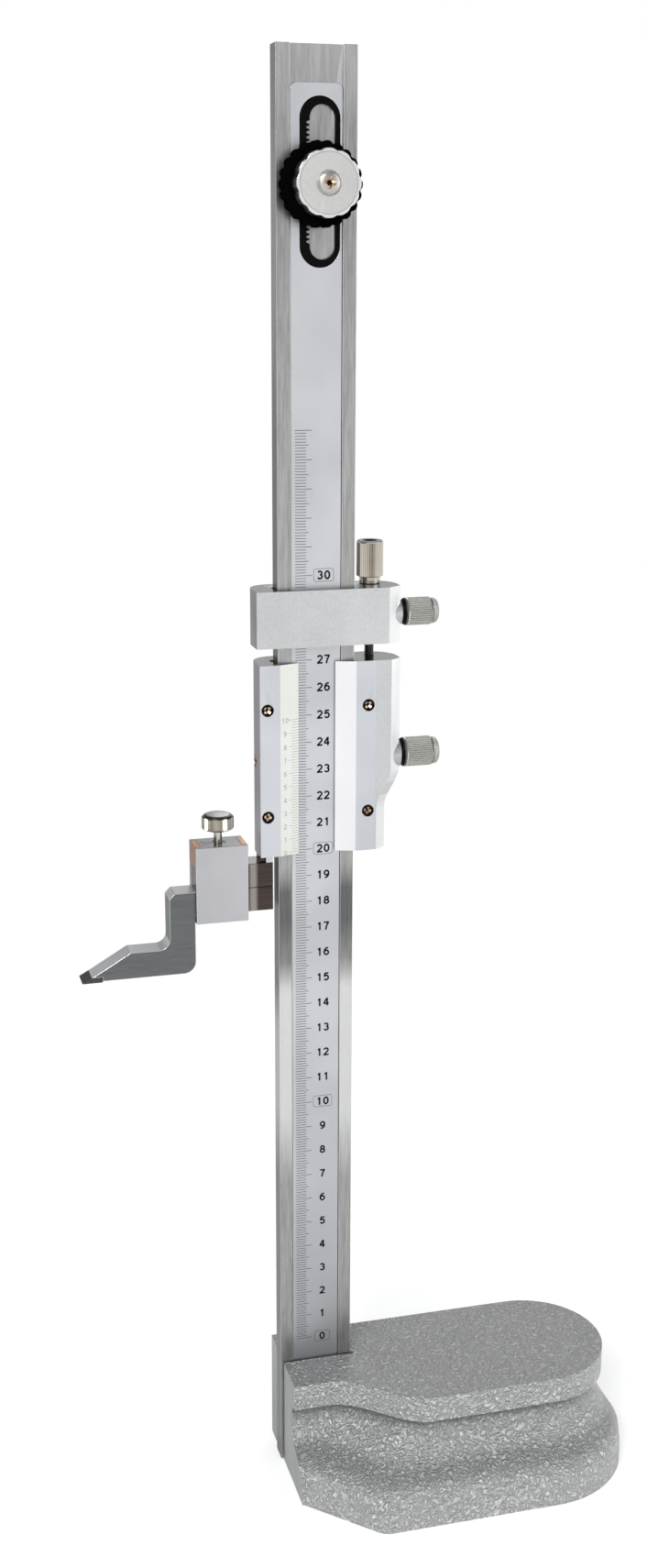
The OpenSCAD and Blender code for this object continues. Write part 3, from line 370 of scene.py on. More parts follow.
upBeam = (1.0, 1.0, 0.045)
alongJaw = (0.05, 1.0, 1.0)
alongScriber = (0.06, 1.0, 1.0)
looks = {
    "enamel": hammertone(enamelPlan),
    "milledIron": satin("milledIron", (168, 169, 170), (184, 185, 186), (0.42, 0.55), metallic=0.7),
    # painted reflections on the beam: a bright stretch at 134 to 205 mm, a dark one at 211 to 242 mm, a faint
    # bright one at 514 to 560 mm
    "beamSteel": rubbed(brushed("brushedBeamSteel", (158, 158, 157), (190, 191, 189), upBeam, (0.26, 0.38),
                                scales=(700, 3500)),
                        (134, 205, (246, 246, 246), 0.75, 5), (211, 242, (66, 66, 70), 0.7, 5),
                        (514, 560, (240, 240, 240), 0.38, 3)),
    # the beam's sides are a darker copy of its steel, as painted shade, with a painted reflection at 138 to 192
    # mm
    "beamSide": rubbed(brushed("brushedBeamSidePaintedShade", (94, 94, 96), (124, 124, 126), upBeam, (0.24, 0.36)),
                       (138, 192, (216, 216, 218), 0.7, 9)),
    # the scale plate is darker towards the bottom
    "scaleSatin": rubbed(satin("satinScaleSteel", (208, 210, 214), (220, 222, 226), (0.38, 0.46)),
                         (-60, 88, (172, 174, 178), 0.6, 34)),
    # painted highlight: white on bevels that face right and on the bosses' chamfers
    "bevelWhite": satin("whiteBevelPaintedHighlight", (244, 245, 246), (250, 251, 251), (0.26, 0.36)),
    "bossGrey": satin("turnedBoss", (196, 197, 199), (210, 211, 213), grain=1500, strength=0.3, speckle=0.1),
    # painted highlight on narrow broken edges
    "edgeBright": satin("brightEdgePaintedHighlight", (226, 227, 229), (238, 239, 240), (0.22, 0.32)),
    # black for the slot frame and the black screws, and as painted shade in recesses and on a knob's shaded
    # face
    "slotBlack": plastic("blackOxideAndPaintedShade", (5, 5, 6), (10, 10, 11), gloss=0.06),
    "knobBlack": plastic("blackNylon", (4, 4, 5), (9, 9, 10), (0.4, 0.5), gloss=0.0),
    "spun": satin("spunSide", (128, 129, 131), (152, 153, 155), (0.22, 0.34)),
    "spunFace": spunFace("blastedFace", (224, 224, 221), (234, 234, 231), facePlan),
    # painted reflection: the copper tone on the walls of the screws' cross recesses
    "copperRecessPaintedReflection": satin("copperRecessPaintedReflection", (214, 188, 162), (238, 220, 200), (0.18, 0.3)),
    "copper": satin("oldCopper", (156, 96, 70), (196, 134, 104), (0.3, 0.42)),
    "bodySatin": satin("satinChromeBody", (211, 213, 215), (222, 224, 226), (0.28, 0.38), 1300, 0.2,
                       speckle=0.12),
    # ground tops, painted dark as a reflection
    "bodyPolish": satin("polishedTopPaintedDark", (110, 109, 109), (128, 127, 127), (0.12, 0.2), 1100, 0.05),
    # ground left sides, painted in shade
    "bodyShade": satin("groundSidePaintedShade", (136, 134, 142), (166, 165, 172), (0.2, 0.3), 1100, 0.08),
    "plateSatin": satin("satinPlate", (212, 215, 220), (222, 225, 229)),
    "vernierCream": satin("vernierMatt", (232, 235, 228), (240, 242, 237), (0.42, 0.52)),
    "guideBright": satin("guideBevel", (247, 247, 251), (252, 252, 254)),
    "nickel": satin("brightNickel", (196, 190, 180), (220, 214, 204), (0.14, 0.24)),
    "nickelDark": satin("shadedNickel", (70, 66, 62), (96, 91, 86), (0.2, 0.3)),
    "nickelTop": satin("turnedNickel", (196, 192, 186), (214, 210, 204)),
    "thumbTop": satin("turnedThumbTop", (196, 193, 190), (210, 207, 203), (0.34, 0.44), 1300, 0.05),
    "threadSteel": satin("threadSteel", (60, 60, 62), (108, 108, 110), (0.2, 0.32)),
    # the jaw's dark ground steel, with a painted highlight band round x -9 mm
    "darkSteel": banded(brushed("groundDarkSteel", (70, 62, 59), (84, 75, 71), alongJaw, (0.16, 0.26), 0.5),
                        -9.0, 1.9, (176, 168, 164), 0.75),
    "boxSatin": satin("satinBox", (206, 206, 211), (216, 216, 220), (0.34, 0.46), 3600, 0.3, speckle=0.34),
    # the box's ground top, painted dark as a reflection
    "boxTop": satin("groundBoxTopPaintedDark", (124, 123, 123), (140, 139, 139), (0.2, 0.3), 1100, 0.05),
    "scriberGrey": brushed("brushedScriber", (108, 111, 111), (121, 124, 124), alongScriber, (0.3, 0.42),
                           scales=(900, 3800)),
    # the scriber's ground top and left side are lighter copies of its steel, as painted light
    "scriberTop": satin("groundScriberTopPaintedLight", (186, 187, 189), (200, 201, 203), grain=2400, strength=0.05,
                        metallic=0.5),
    "scriberSide": satin("groundScriberSidePaintedLight", (126, 127, 128), (148, 149, 150)),
    "carbide": plastic("carbide", (66, 68, 70), (84, 86, 88), metallic=0.8),
    "bronze": satin("springBronze", (176, 124, 86), (204, 156, 116), (0.24, 0.34)),
    "greyKnob": plastic("greyKnob", (169, 168, 162), (186, 185, 179), (0.36, 0.46), metallic=0.35),
    # the knobs' grooves and steps in painted shade
    "knobGroove": plastic("knobGroove", (70, 69, 66), (88, 87, 84), (0.4, 0.5), metallic=0.2),
    "brass": satin("brassPad", (176, 146, 84), (206, 176, 112), (0.28, 0.4)),
    "plainSteel": satin("plainSteel", (132, 134, 136), (160, 162, 164), (0.26, 0.38)),
    "inkBlack": plastic("scaleInk", (12, 12, 13), (20, 20, 21), (0.5, 0.6), gloss=0.15),
    "inkTick": plastic("tickInk", (70, 71, 74), (88, 89, 92), (0.5, 0.6), gloss=0.15),
    "inkPale": plastic("vernierInk", (148, 152, 148), (166, 169, 166), (0.5, 0.6), gloss=0.15),
}
print("finishes:", len(looks))


# making pieces
def bringIn(mesh, name, body, *nodes, slot=None):  # a finished mesh becomes a piece on its body
    piece = placed(name, mesh)
    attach(piece, body)
    if nodes:
        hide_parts(*nodes)


def baked(mesh, addModifiers):  # modifiers turned into a plain mesh
    holder = placed("bench", mesh)
    addModifiers(holder)
    bpy.context.view_layer.update()
    done = bpy.data.meshes.new_from_object(holder.evaluated_get(bpy.context.evaluated_depsgraph_get()))
    bpy.data.objects.remove(holder)
    return done


def cleanCopy(node, cut=None):  # a CAD node's mesh, merged into flat faces and parted at cut (x, in mm)
    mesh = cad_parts[node].data.copy()
    shape = bmesh.new()
    shape.from_mesh(mesh)
    bmesh.ops.remove_doubles(shape, verts=shape.verts, dist=0.002 * mm)
    bmesh.ops.dissolve_limit(shape, angle_limit=radians(0.4), verts=shape.verts, edges=shape.edges)
    if cut is not None:
        bmesh.ops.bisect_plane(shape, geom=shape.verts[:] + shape.edges[:] + shape.faces[:],
                               plane_co=onBeam(cut, 0, 0), plane_no=(1, 0, 0))
    shape.to_mesh(mesh)
    shape.free()
    mesh.materials.clear()
    return mesh


def smoothed(mesh, angle):
    mesh.shade_smooth()
    mesh.set_sharp_from_angle(angle=radians(angle))
    return mesh


def refine(node, name, body, look, slot, edge, steps=2, paint=None, cut=None, angle=30):
    # a solid taken over with its edges broken to catch the light; paint may name another finish for a face
    def ease(holder):
        bevel = holder.modifiers.new("ease", "BEVEL")
        bevel.width = edge * mm
        bevel.segments = steps
        bevel.limit_method = "ANGLE"
        bevel.angle_limit = radians(angle)
        bevel.harden_normals = True
        bevel.miter_outer = "MITER_ARC"
    mesh = baked(smoothed(cleanCopy(node, cut), angle), ease)
    keys = [paint and paint(face.center / mm - beamCorner, face.normal) or look for face in mesh.polygons]
    used = sorted(set(keys))
    for key in used:
        mesh.materials.append(looks[key])
    for face, key in zip(mesh.polygons, keys):
        face.material_index = used.index(key)
    bringIn(mesh, name, body, node, slot=slot)


def closed(shape, name, *keys):  # a bmesh made a mesh, with its faces outwards and its finishes
    bmesh.ops.recalc_face_normals(shape, faces=shape.faces)
    mesh = bpy.data.meshes.new(name)
    shape.to_mesh(mesh)
    shape.free()
    for key in keys:
        mesh.materials.append(looks[key])
    return mesh


def joined(name, *meshes):
    shape = bmesh.new()
    used = []
    for mesh in meshes:
        first = len(shape.faces)
        shape.from_mesh(mesh)
        shape.faces.ensure_lookup_table()
        for face in shape.faces[first:]:
            face.material_index += len(used)
        used += list(mesh.materials)
    done = bpy.data.meshes.new(name)
    shape.to_mesh(done)
    shape.free()
    for look in used:
        done.materials.append(look)
    return done


def turned(profile, sides, look, smoothAngle=35, others=None):
    # a closed round shape from (radius, height) pairs in mm; others gives bands, by number, another finish
    others = others or {}
    keys = [look] + sorted(set(others.values()))
    angles = [2 * pi * k / sides for k in range(sides)]
    shape = bmesh.new()
    rings = []
    for radius, height in profile:
        if radius == 0:
            rings.append([shape.verts.new((0, 0, height * mm))] * sides)
        else:
            spots = [(radius * mm * cos(a), radius * mm * sin(a), height * mm) for a in angles]
            rings.append([shape.verts.new(spot) for spot in spots])
    for band, (low, high) in enumerate(zip(rings, rings[1:])):
        for k in range(sides):
            corners = []
            for vert in (low[k], low[(k + 1) % sides], high[(k + 1) % sides], high[k]):
                if vert not in corners:
                    corners.append(vert)
            if len(corners) > 2:
                shape.faces.new(corners).material_index = keys.index(others.get(band, look))
    return smoothed(closed(shape, "turned", *keys), smoothAngle)


def newTree(name, plain, sizes):  # a geometry tree with a named input for each count, size and finish
    tree = bpy.data.node_groups.new(name, "GeometryNodeTree")
    tree.interface.new_socket("Geometry", in_out="OUTPUT", socket_type="NodeSocketGeometry")
    for kind, labels in (("Int", plain), ("Float", sizes), ("Material", ["Material"])):
        for label in labels:
            tree.interface.new_socket(label, in_out="INPUT", socket_type="NodeSocket" + kind)
    return tree, tree.nodes.new("NodeGroupInput").outputs


def spread(tree, points, thing, *feeds):  # a copy of a thing at every point
    return flow(tree, "GeometryNodeInstanceOnPoints", ("Points", points), ("Instance", thing), *feeds)


def closeTree(tree, entry, instances):  # every tree ends in real geometry with its finish
    real = flow(tree, "GeometryNodeRealizeInstances", (0, instances))
    coated = flow(tree, "GeometryNodeSetMaterial", ("Geometry", real), ("Material", entry["Material"]))
    step(tree, "NodeGroupOutput", (0, coated))
    return tree


def grown(tree, look, plain, lengths, place=Matrix()):  # runs a tree for its plain mesh; lengths are in mm
    values = {"Material": looks[look], **plain, **{label: length * mm for label, length in lengths.items()}}

    def add(holder):
        nodes = holder.modifiers.new("grow", "NODES")
        nodes.node_group = tree
        for socket in tree.interface.items_tree:
            if socket.in_out == "INPUT":
                nodes[socket.identifier] = values[socket.name]
    mesh = baked(bpy.data.meshes.new("seed"), add)
    mesh.transform(place)
    return mesh


def onAxis(node):  # a node's corners, in mm, and the matrix of its upright axis, both in the slider's frame
    start, stop = boxOnSlider(node)
    return start, stop, Matrix.Translation(onSlider((start.x + stop.x) / 2, (start.y + stop.y) / 2, 0.0))


# base
basePlan = {
    "edge": 1.1, "steps": 3, "angle": 38, "slotWide": 29.0, "slotDeep": 8.0,
    "leftEnd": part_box("base_casting")[0].x / mm - beamCorner.x,
}


def basePaint(spot, normal):  # the machined end, the beam's slot and the underside are bare
    machined = normal.x < -0.9 and spot.x < basePlan["leftEnd"] + 0.3
    inSlot = -0.8 < spot.y < basePlan["slotDeep"] and spot.x < basePlan["slotWide"] and abs(normal.z) < 0.5
    if machined or inSlot or (normal.z < -0.9 and spot.z < 0.2):
        return "milledIron"


refine("base_casting", "baseCasting", "base_frame", "enamel", "hammertone_enamel", basePlan["edge"],
       basePlan["steps"], paint=basePaint, angle=basePlan["angle"])
print("base is on the plate")


# beam, main scale and its marks
def tilt(normal):  # 1 on a face that lies square, less on a bevel
    return max(abs(normal.x), abs(normal.y), abs(normal.z))


def beamPaint(spot, normal):
    # a milled top, sides in painted shade, front bevels in painted highlight
    if normal.z > 0.9:
        return "milledIron"
    if abs(normal.x) > 0.9 and (spot.x < 0.1 or spot.y > 2):
        return "beamSide"
    if abs(normal.x) > 0.3 and normal.y < -0.3:
        return "edgeBright"


def edgePaint(spot, normal):  # narrow broken edges get a painted highlight
    if tilt(normal) < 0.97:
        return "edgeBright"


refine("beam", "beamBar", "base_frame", "beamSteel", "ground_steel", 0.22, paint=beamPaint)
refine("scale_plate", "scalePlate", "main_scale", "scaleSatin", "satin_scale", 0.16, paint=edgePaint)
refine("rack_frame", "slotFrame", "main_scale", "slotBlack", "black_oxide", 0.08)

scaleMarks = {
    "zero": 52.8, "face": 0.34, "left": 6.45, "side": 1.0,  # side is 1 where the marks grow to the right
    "count": 351, "pitch": 1.0, "every": (5, 10),  # every middle and every long mark is so many marks on
    "width": 0.2, "short": 3.95, "middle": 4.9, "long": 6.05, "proud": 0.03,
    "numbers": 31, "apart": 10, "numberX": 16.75, "numberHeight": 3.15, "stroke": 0.1,
    "boxWide": 7.4, "zeroBoxWide": 6.1, "boxHigh": 4.6, "boxLine": 0.15, "boxCorner": 0.9,
}


def tickTree():
    tree, entry = newTree("ticks", ["Count", "Middle every", "Long every"],
                          ["Pitch", "Width", "Depth", "Short", "Middle", "Long", "Side"])
    rise = vector(tree, Z=entry["Pitch"])
    row = flow(tree, "GeometryNodeMeshLine", ("Count", entry["Count"]), ("Offset", rise))
    index = flow(tree, "GeometryNodeInputIndex")
    isMiddle, isLong = (calc(tree, "COMPARE", calc(tree, "MODULO", index, entry[every]))
                        for every in ("Middle every", "Long every"))
    more = calc(tree, "MULTIPLY", isMiddle, calc(tree, "SUBTRACT", entry["Middle"], entry["Short"]))
    most = calc(tree, "MULTIPLY", isLong, calc(tree, "SUBTRACT", entry["Long"], entry["Middle"]))
    length = calc(tree, "ADD", entry["Short"], calc(tree, "ADD", more, most))
    size = vector(tree, X=length, Y=entry["Depth"], Z=entry["Width"])
    shift = vector(tree, X=calc(tree, "MULTIPLY", entry["Side"], 0.5))
    block = flow(tree, "GeometryNodeMeshCube", ("Size", (1.0, 1.0, 1.0)))
    block = flow(tree, "GeometryNodeTransform", ("Geometry", block), ("Translation", shift))
    return closeTree(tree, entry, spread(tree, row, block, ("Scale", size)))


ticks = tickTree()


def makeTicks(name, body, look, plan, place):
    counts = {"Count": plan["count"], "Side": plan["side"]}
    counts["Middle every"], counts["Long every"] = plan["every"]
    sizes = {key.capitalize(): plan[key] for key in ("pitch", "width", "short", "middle", "long")}
    sizes["Depth"] = 2 * plan["proud"]
    bringIn(grown(ticks, look, counts, sizes, place), name, body)


def arc(x, z, across, up, start, stop, parts=9):
    angles = [radians(start + (stop - start) * k / parts) for k in range(parts + 1)]
    return [(x + across * cos(a), z + up * sin(a)) for a in angles]


def figureStrokes():  # plain upright figures as strokes, one high, centred on the origin
    six = [arc(0.0, -0.15, 0.25, 0.265, 0, 360, 16), arc(0.13, -0.12, 0.38, 0.535, 176, 76)]
    return {
        "0": [arc(0.0, 0.0, 0.25, 0.415, 0, 360, 20)],
        "1": [[(-0.17, 0.25), (0.03, 0.38)], [(0.05, 0.5), (0.05, -0.5)]],
        "2": [arc(0.0, 0.18, 0.245, 0.235, 168, -36) + [(-0.24, -0.42)], [(-0.33, -0.415), (0.32, -0.415)]],
        "3": [arc(-0.01, 0.205, 0.225, 0.21, 155, -84), arc(-0.01, -0.19, 0.255, 0.225, 84, -158)],
        "4": [[(0.12, 0.5), (0.12, -0.5)], [(0.1, 0.44), (-0.27, -0.14)], [(-0.33, -0.2), (0.31, -0.2)]],
        "5": [[(0.27, 0.415), (-0.21, 0.415)], [(-0.16, 0.42), (-0.21, -0.03)],
              arc(-0.01, -0.13, 0.26, 0.285, 142, -152)],
        "6": six,
        "7": [[(-0.31, 0.415), (0.31, 0.415)], [(0.25, 0.4), (0.03, 0.0), (-0.08, -0.5)]],
        "8": [arc(0.0, 0.21, 0.205, 0.205, 0, 360, 14), arc(0.0, -0.195, 0.25, 0.22, 0, 360, 14)],
        "9": [[(-x, -z) for x, z in stroke] for stroke in six],
    }


figures = figureStrokes()
figureAdvance = 0.84  # from one figure to the next, in heights


def ribbon(shape, stroke, half, thick):  # a flat stroke of even width with square ends
    loop = dist(stroke[0], stroke[-1]) < 1e-6
    line = stroke[:-1] if loop else stroke
    n = len(line)
    rows = []
    for k, (x, z) in enumerate(line):
        before = line[k - 1] if loop or k > 0 else None
        after = line[(k + 1) % n] if loop or k < n - 1 else None
        pairs = (before, (x, z)), ((x, z), after)
        ways = [Vector((b[0] - a[0], b[1] - a[1])).normalized() for a, b in pairs if a and b]
        way = sum(ways, Vector((0, 0))).normalized()
        out = half / max(0.5, way.dot(ways[0]))
        rows.append([shape.verts.new((x + side * -way.y * out, y, z + side * way.x * out))
                     for side in (-1, 1) for y in (-thick, thick)])
    for k in range(n if loop else n - 1):
        a, b = rows[k], rows[(k + 1) % n]
        for p, q in ((0, 2), (2, 3), (3, 1), (1, 0)):
            shape.faces.new((a[p], a[q], b[q], b[p]))
    if not loop:
        for row in (rows[0], rows[-1]):
            shape.faces.new((row[0], row[1], row[3], row[2]))


def numberMesh(value, look, plan, place):  # flat figures, centred, standing in x and z
    shape = bmesh.new()
    text, height = str(value), plan["numberHeight"]
    for k, character in enumerate(text):
        start = len(shape.verts)
        for line in figures[character]:
            ribbon(shape, line, plan["stroke"], plan["proud"] / height)
        shape.verts.ensure_lookup_table()
        for vert in shape.verts[start:]:
            vert.co.x += (k - (len(text) - 1) / 2) * figureAdvance
    bmesh.ops.scale(shape, vec=(height * mm,) * 3, verts=shape.verts)
    mesh = closed(shape, "figure", look)
    mesh.transform(place)
    return mesh


def boxMesh(wide, look, plan, place):  # a thin rounded frame round a main number
    def outline(inset):
        w, h, r = wide / 2 - inset, plan["boxHigh"] / 2 - inset, plan["boxCorner"] - inset
        return [(cx * (w - r) + r * cos(a), cz * (h - r) + r * sin(a))
                for cx, cz, start in ((1, 1, 0), (-1, 1, 90), (-1, -1, 180), (1, -1, 270))
                for a in (radians(start + 22.5 * k) for k in range(5))]
    rings = outline(0.0), outline(plan["boxLine"])
    n = len(rings[0])
    shape = bmesh.new()
    verts = [shape.verts.new((x * mm, y * mm, z * mm)) for y in (-plan["proud"], plan["proud"])
             for ring in rings for x, z in ring]
    for k in range(n):
        j = (k + 1) % n
        for corners in ((k, j, n + j, n + k), (2 * n + k, 3 * n + k, 3 * n + j, 2 * n + j),
                        (k, 2 * n + k, 2 * n + j, j), (n + k, n + j, 3 * n + j, 3 * n + k)):
            shape.faces.new([verts[corner] for corner in corners])
    mesh = closed(shape, "box", look)
    mesh.transform(place)
    return mesh


def makeScaleMarks(plan):
    makeTicks("scaleTicks", "main_scale", "inkTick", plan,
              Matrix.Translation(onBeam(plan["left"], plan["face"], plan["zero"])))
    parts = []
    for value in range(plan["numbers"]):
        height = plan["zero"] + plan["apart"] * plan["pitch"] * value
        spot = Matrix.Translation(onBeam(plan["numberX"], plan["face"], height))
        parts.append(numberMesh(value, "inkBlack", plan, spot))
        if value % 10 == 0:
            parts.append(boxMesh(plan["boxWide"] if value else plan["zeroBoxWide"], "inkTick", plan, spot))
    bringIn(joined("scaleNumbers", *parts), "scaleNumbers", "main_scale")


makeScaleMarks(scaleMarks)
print("beam and main scale are in, with", scaleMarks["count"], "marks")


# knobs of the main scale
def lockPaint(spot, normal):
    # a blasted front face, its chamfer in painted highlight
    if normal.y < -0.95:
        return "spunFace"
    if normal.y < -0.2:
        return "edgeBright"


refine("knob_stud", "knobStud", "base_frame", "plainSteel", "ground_steel", 0.1)
refine("pinion_gear", "pinionGear", "feed_knob", "brass", "brass", 0.06)
refine("scale_feed_knob", "feedKnob", "feed_knob", "knobBlack", "black_nylon", 0.35, 3)
refine("scale_lock_knob", "lockKnob", "lock_knob", "spun", "spun_aluminium", 0.35, 3, paint=lockPaint)
refine("beam_screws", "beamScrews", "base_frame", "slotBlack", "dark_steel", 0.2)

lockScrewPlan = {
    "head": 3.55, "shank": 1.25, "height": 2.1, "length": 8.5, "dome": 0.75,
    "cross": 3.9, "arm": 0.95, "deep": 1.15,
}
plateScrewPlan = {
    "head": 2.05, "shank": 1.25, "height": 1.3, "length": 5.4, "dome": 0.22,
    "cross": 2.7, "arm": 0.85, "deep": 0.7, "at": (13.9, 53.1),
}


def crossScrew(plan, headLook):  # a domed screw with a cross recess, its head towards -Y at the origin
    head, dome = plan["head"], plan["dome"]
    cap = [(head * cos(radians(a)), dome * sin(radians(a)) - dome) for a in range(0, 90, 15)] + [(0, 0)]
    mesh = turned([(0, -plan["length"]), (plan["shank"], -plan["length"]), (plan["shank"], -plan["height"]),
                   (head, -plan["height"])] + cap, 48, headLook)
    w, t, q = plan["cross"] / 2, plan["arm"] / 2, plan["cross"] * 0.21
    outline = []
    for quarter in range(4):
        c, n = cos(quarter * pi / 2), sin(quarter * pi / 2)
        outline += [(x * c - y * n, x * n + y * c) for x, y in ((w, -t), (w, t), (q, q))]
    shape = bmesh.new()  # the tool that cuts the cross, narrower at its foot
    rings = [[shape.verts.new((x * k * mm, y * k * mm, z * mm)) for x, y in outline]
             for k, z in ((1.0, 0.2), (1.0, -0.15), (0.42, -plan["deep"]))]
    for low, high in zip(rings[1:], rings):
        for k in range(12):
            shape.faces.new((low[k], low[(k + 1) % 12], high[(k + 1) % 12], high[k]))
    shape.faces.new(rings[0])
    shape.faces.new(rings[2][::-1])
    cutter = placed("crossTool", closed(shape, "crossTool"))

    def add(holder):
        hole = holder.modifiers.new("cross", "BOOLEAN")
        hole.operation = "DIFFERENCE"
        hole.solver = "EXACT"
        hole.object = cutter
    mesh = baked(mesh, add)
    bpy.data.objects.remove(cutter)
    mesh.materials.clear()
    # the cross recess's walls take a copper tone as a painted reflection, its floor black as painted shade
    for key in (headLook, "copperRecessPaintedReflection", "slotBlack"):
        mesh.materials.append(looks[key])
    for face in mesh.polygons:
        spot = face.center / mm
        off = hypot(spot.x, spot.y)
        underDome = spot.z < dome * sqrt(max(0.0, 1 - (off / head) ** 2)) - dome - 0.02
        inCross = off < w + 0.02 and spot.z > -plan["deep"] - 0.1 and underDome
        face.material_index = inCross + (inCross and spot.z < -plan["deep"] + 0.05)
    mesh.transform(Matrix.Rotation(radians(90), 4, "X"))
    return mesh


def placeScrews(name, node, body, plan, headLook, slot):
    low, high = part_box(node)
    middle = (low + high) / 2
    heights = [(vernierZero + z) * mm for z in plan["at"]] if "at" in plan else [middle.z]
    parts = []
    for k, z in enumerate(heights):  # each is turned a little further
        turn = Matrix.Rotation(radians(12 + 31 * k), 4, "Y")
        parts.append(crossScrew(plan, headLook))
        parts[-1].transform(Matrix.Translation((middle.x, low[1], z)) @ turn)
    bringIn(joined(name, *parts), name, body, node, slot=slot)


placeScrews("lockKnobScrew", "lock_knob_screw", "base_frame", lockScrewPlan, "nickelTop", "copper_nickel")

# carrier and slider
bodyPlan = {"clampY": 3.6, "bosses": ((33.4, 5.4), (85.2, 4.8)), "bossFrom": 40.3, "bossChamfer": 45.4}


def bodyPaint(spot, normal):  # ground ends painted dark as a reflection, the left side in painted shade, bevels and the bosses' chamfers in painted highlight, the bosses' rims turned grey
    for z, r in bodyPlan["bosses"]:
        away = hypot(spot.y - bodyPlan["clampY"], spot.z - vernierZero - z)
        if spot.x > bodyPlan["bossFrom"] and r - 0.7 < away < r + 0.1 and abs(normal.x) < 0.98:
            if abs(normal.x) > 0.1 and spot.x > bodyPlan["bossChamfer"]:
                return "bevelWhite"
            if abs(normal.x) < 0.1 and away > r - 0.15:
                return "bossGrey"
    if abs(normal.z) > 0.85:
        return "bodyPolish"
    if abs(normal.z) > 0.3:
        return "edgeBright"
    if normal.x < -0.55:
        return "bodyShade"
    if 0.25 < normal.x < 0.9 and normal.y < -0.2:
        return "bevelWhite"


def platePaint(bevelLook, side):
    def paint(spot, normal):
        # ground tops painted dark as a reflection, the bevel in its own finish, the left side in painted shade,
        # narrow edges in painted highlight
        if abs(normal.z) > 0.85:
            return "bodyPolish"
        if normal.x * side > 0.15 and normal.y < -0.5:
            return bevelLook
        if normal.x < -0.85:
            return "bodyShade"
        if tilt(normal) < 0.93:
            return "edgeBright"
    return paint


refine("feed_carrier", "carrierBlock", "carrier", "bodySatin", "satin_chrome", 0.25, 3, paint=bodyPaint)
refine("carrier_leaf_spring", "leafSpring", "carrier", "plainSteel", "ground_steel", 0.05)
refine("carrier_clamp_pad", "carrierPad", "carrier", "brass", "brass", 0.1)
refine("nut_pin", "nutPin", "carrier", "plainSteel", "dark_steel", 0.1)
refine("carrier_clamp_screw", "carrierClampScrew", "carrier_clamp", "plainSteel", "dark_steel", 0.1)
refine("slider_body", "sliderBlock", "slider", "bodySatin", "satin_chrome", 0.25, 3, paint=bodyPaint)
refine("slider_gib", "sliderGib", "slider", "brass", "brass", 0.1)
refine("gib_screw", "gibScrew", "slider", "copper", "bronze", 0.1)
refine("slider_clamp_pad", "sliderPad", "slider", "brass", "brass", 0.1)
refine("slider_clamp_screw", "sliderClampScrew", "slider_clamp", "plainSteel", "dark_steel", 0.1)
for side, name, bevelLook in ((1, "vernier", "vernierCream"), (-1, "guide", "guideBright")):
    refine(name + "_plate", name + "Plate", "slider", "plateSatin", "satin_chrome", 0.14,
           paint=platePaint(bevelLook, side))
for name in ("vernier", "guide"):
    placeScrews(name + "PlateScrews", name + "_plate_screws", "slider", plateScrewPlan, "slotBlack",
                "black_oxide")

vernierMarks = {
    "edge": (7.4, -0.51), "heel": (0.2, -2.8), "setBack": 0.03, "side": -1.0,
    "count": 51, "pitch": 0.98, "every": (5, 5), "width": 0.14, "short": 2.75, "middle": 3.8, "long": 3.8,
    "proud": 0.02, "numbers": 11, "apart": 5, "numberAt": 1.86, "numberHeight": 1.9, "stroke": 0.055,
}


def makeVernierMarks(plan):
    heelX, heelY = plan["heel"]
    rise = (plan["edge"][1] - heelY) / (plan["edge"][0] - heelX)
    turn = Matrix.Rotation(atan2(rise, 1.0), 4, "Z")
    edge = Matrix.Translation(onSlider(*plan["edge"], 0.0))
    makeTicks("vernierTicks", "slider", "inkPale", plan,
              edge @ turn @ Matrix.Translation((-plan["setBack"] * mm, 0.0, 0.0)))
    at = plan["numberAt"]
    parts = []
    for value in range(plan["numbers"]):
        spot = onSlider(heelX + at, heelY + at * rise, plan["apart"] * plan["pitch"] * value)
        parts.append(numberMesh(value, "inkPale", plan, Matrix.Translation(spot) @ turn))
    bringIn(joined("vernierNumbers", *parts), "vernierNumbers", "slider")


makeVernierMarks(vernierMarks)
print("slider and carrier are on the beam")


# knurled and threaded pieces
def aroundAxis(tree, place, count):  # the angle of one of count places round an axis
    return calc(tree, "DIVIDE", calc(tree, "MULTIPLY", place, 2 * pi), count)


def ribTree():  # straight ribs round an axis, each a bar that stands on its corner
    tree, entry = newTree("ribs", ["Count"], ["Radius", "Side", "Length", "Start"])
    ring = flow(tree, "GeometryNodeMeshCircle", ("Vertices", entry["Count"]), ("Radius", entry["Radius"]))
    size = vector(tree, X=entry["Side"], Y=entry["Side"], Z=entry["Length"])
    bar = flow(tree, "GeometryNodeMeshCube", ("Size", size))
    rise = calc(tree, "ADD", entry["Start"], calc(tree, "MULTIPLY", entry["Length"], 0.5))
    bar = flow(tree, "GeometryNodeTransform", ("Geometry", bar), ("Translation", vector(tree, Z=rise)),
               ("Rotation", (0.0, 0.0, pi / 4)))
    angle = aroundAxis(tree, flow(tree, "GeometryNodeInputIndex"), entry["Count"])
    return closeTree(tree, entry, spread(tree, ring, bar, ("Rotation", vector(tree, Z=angle))))


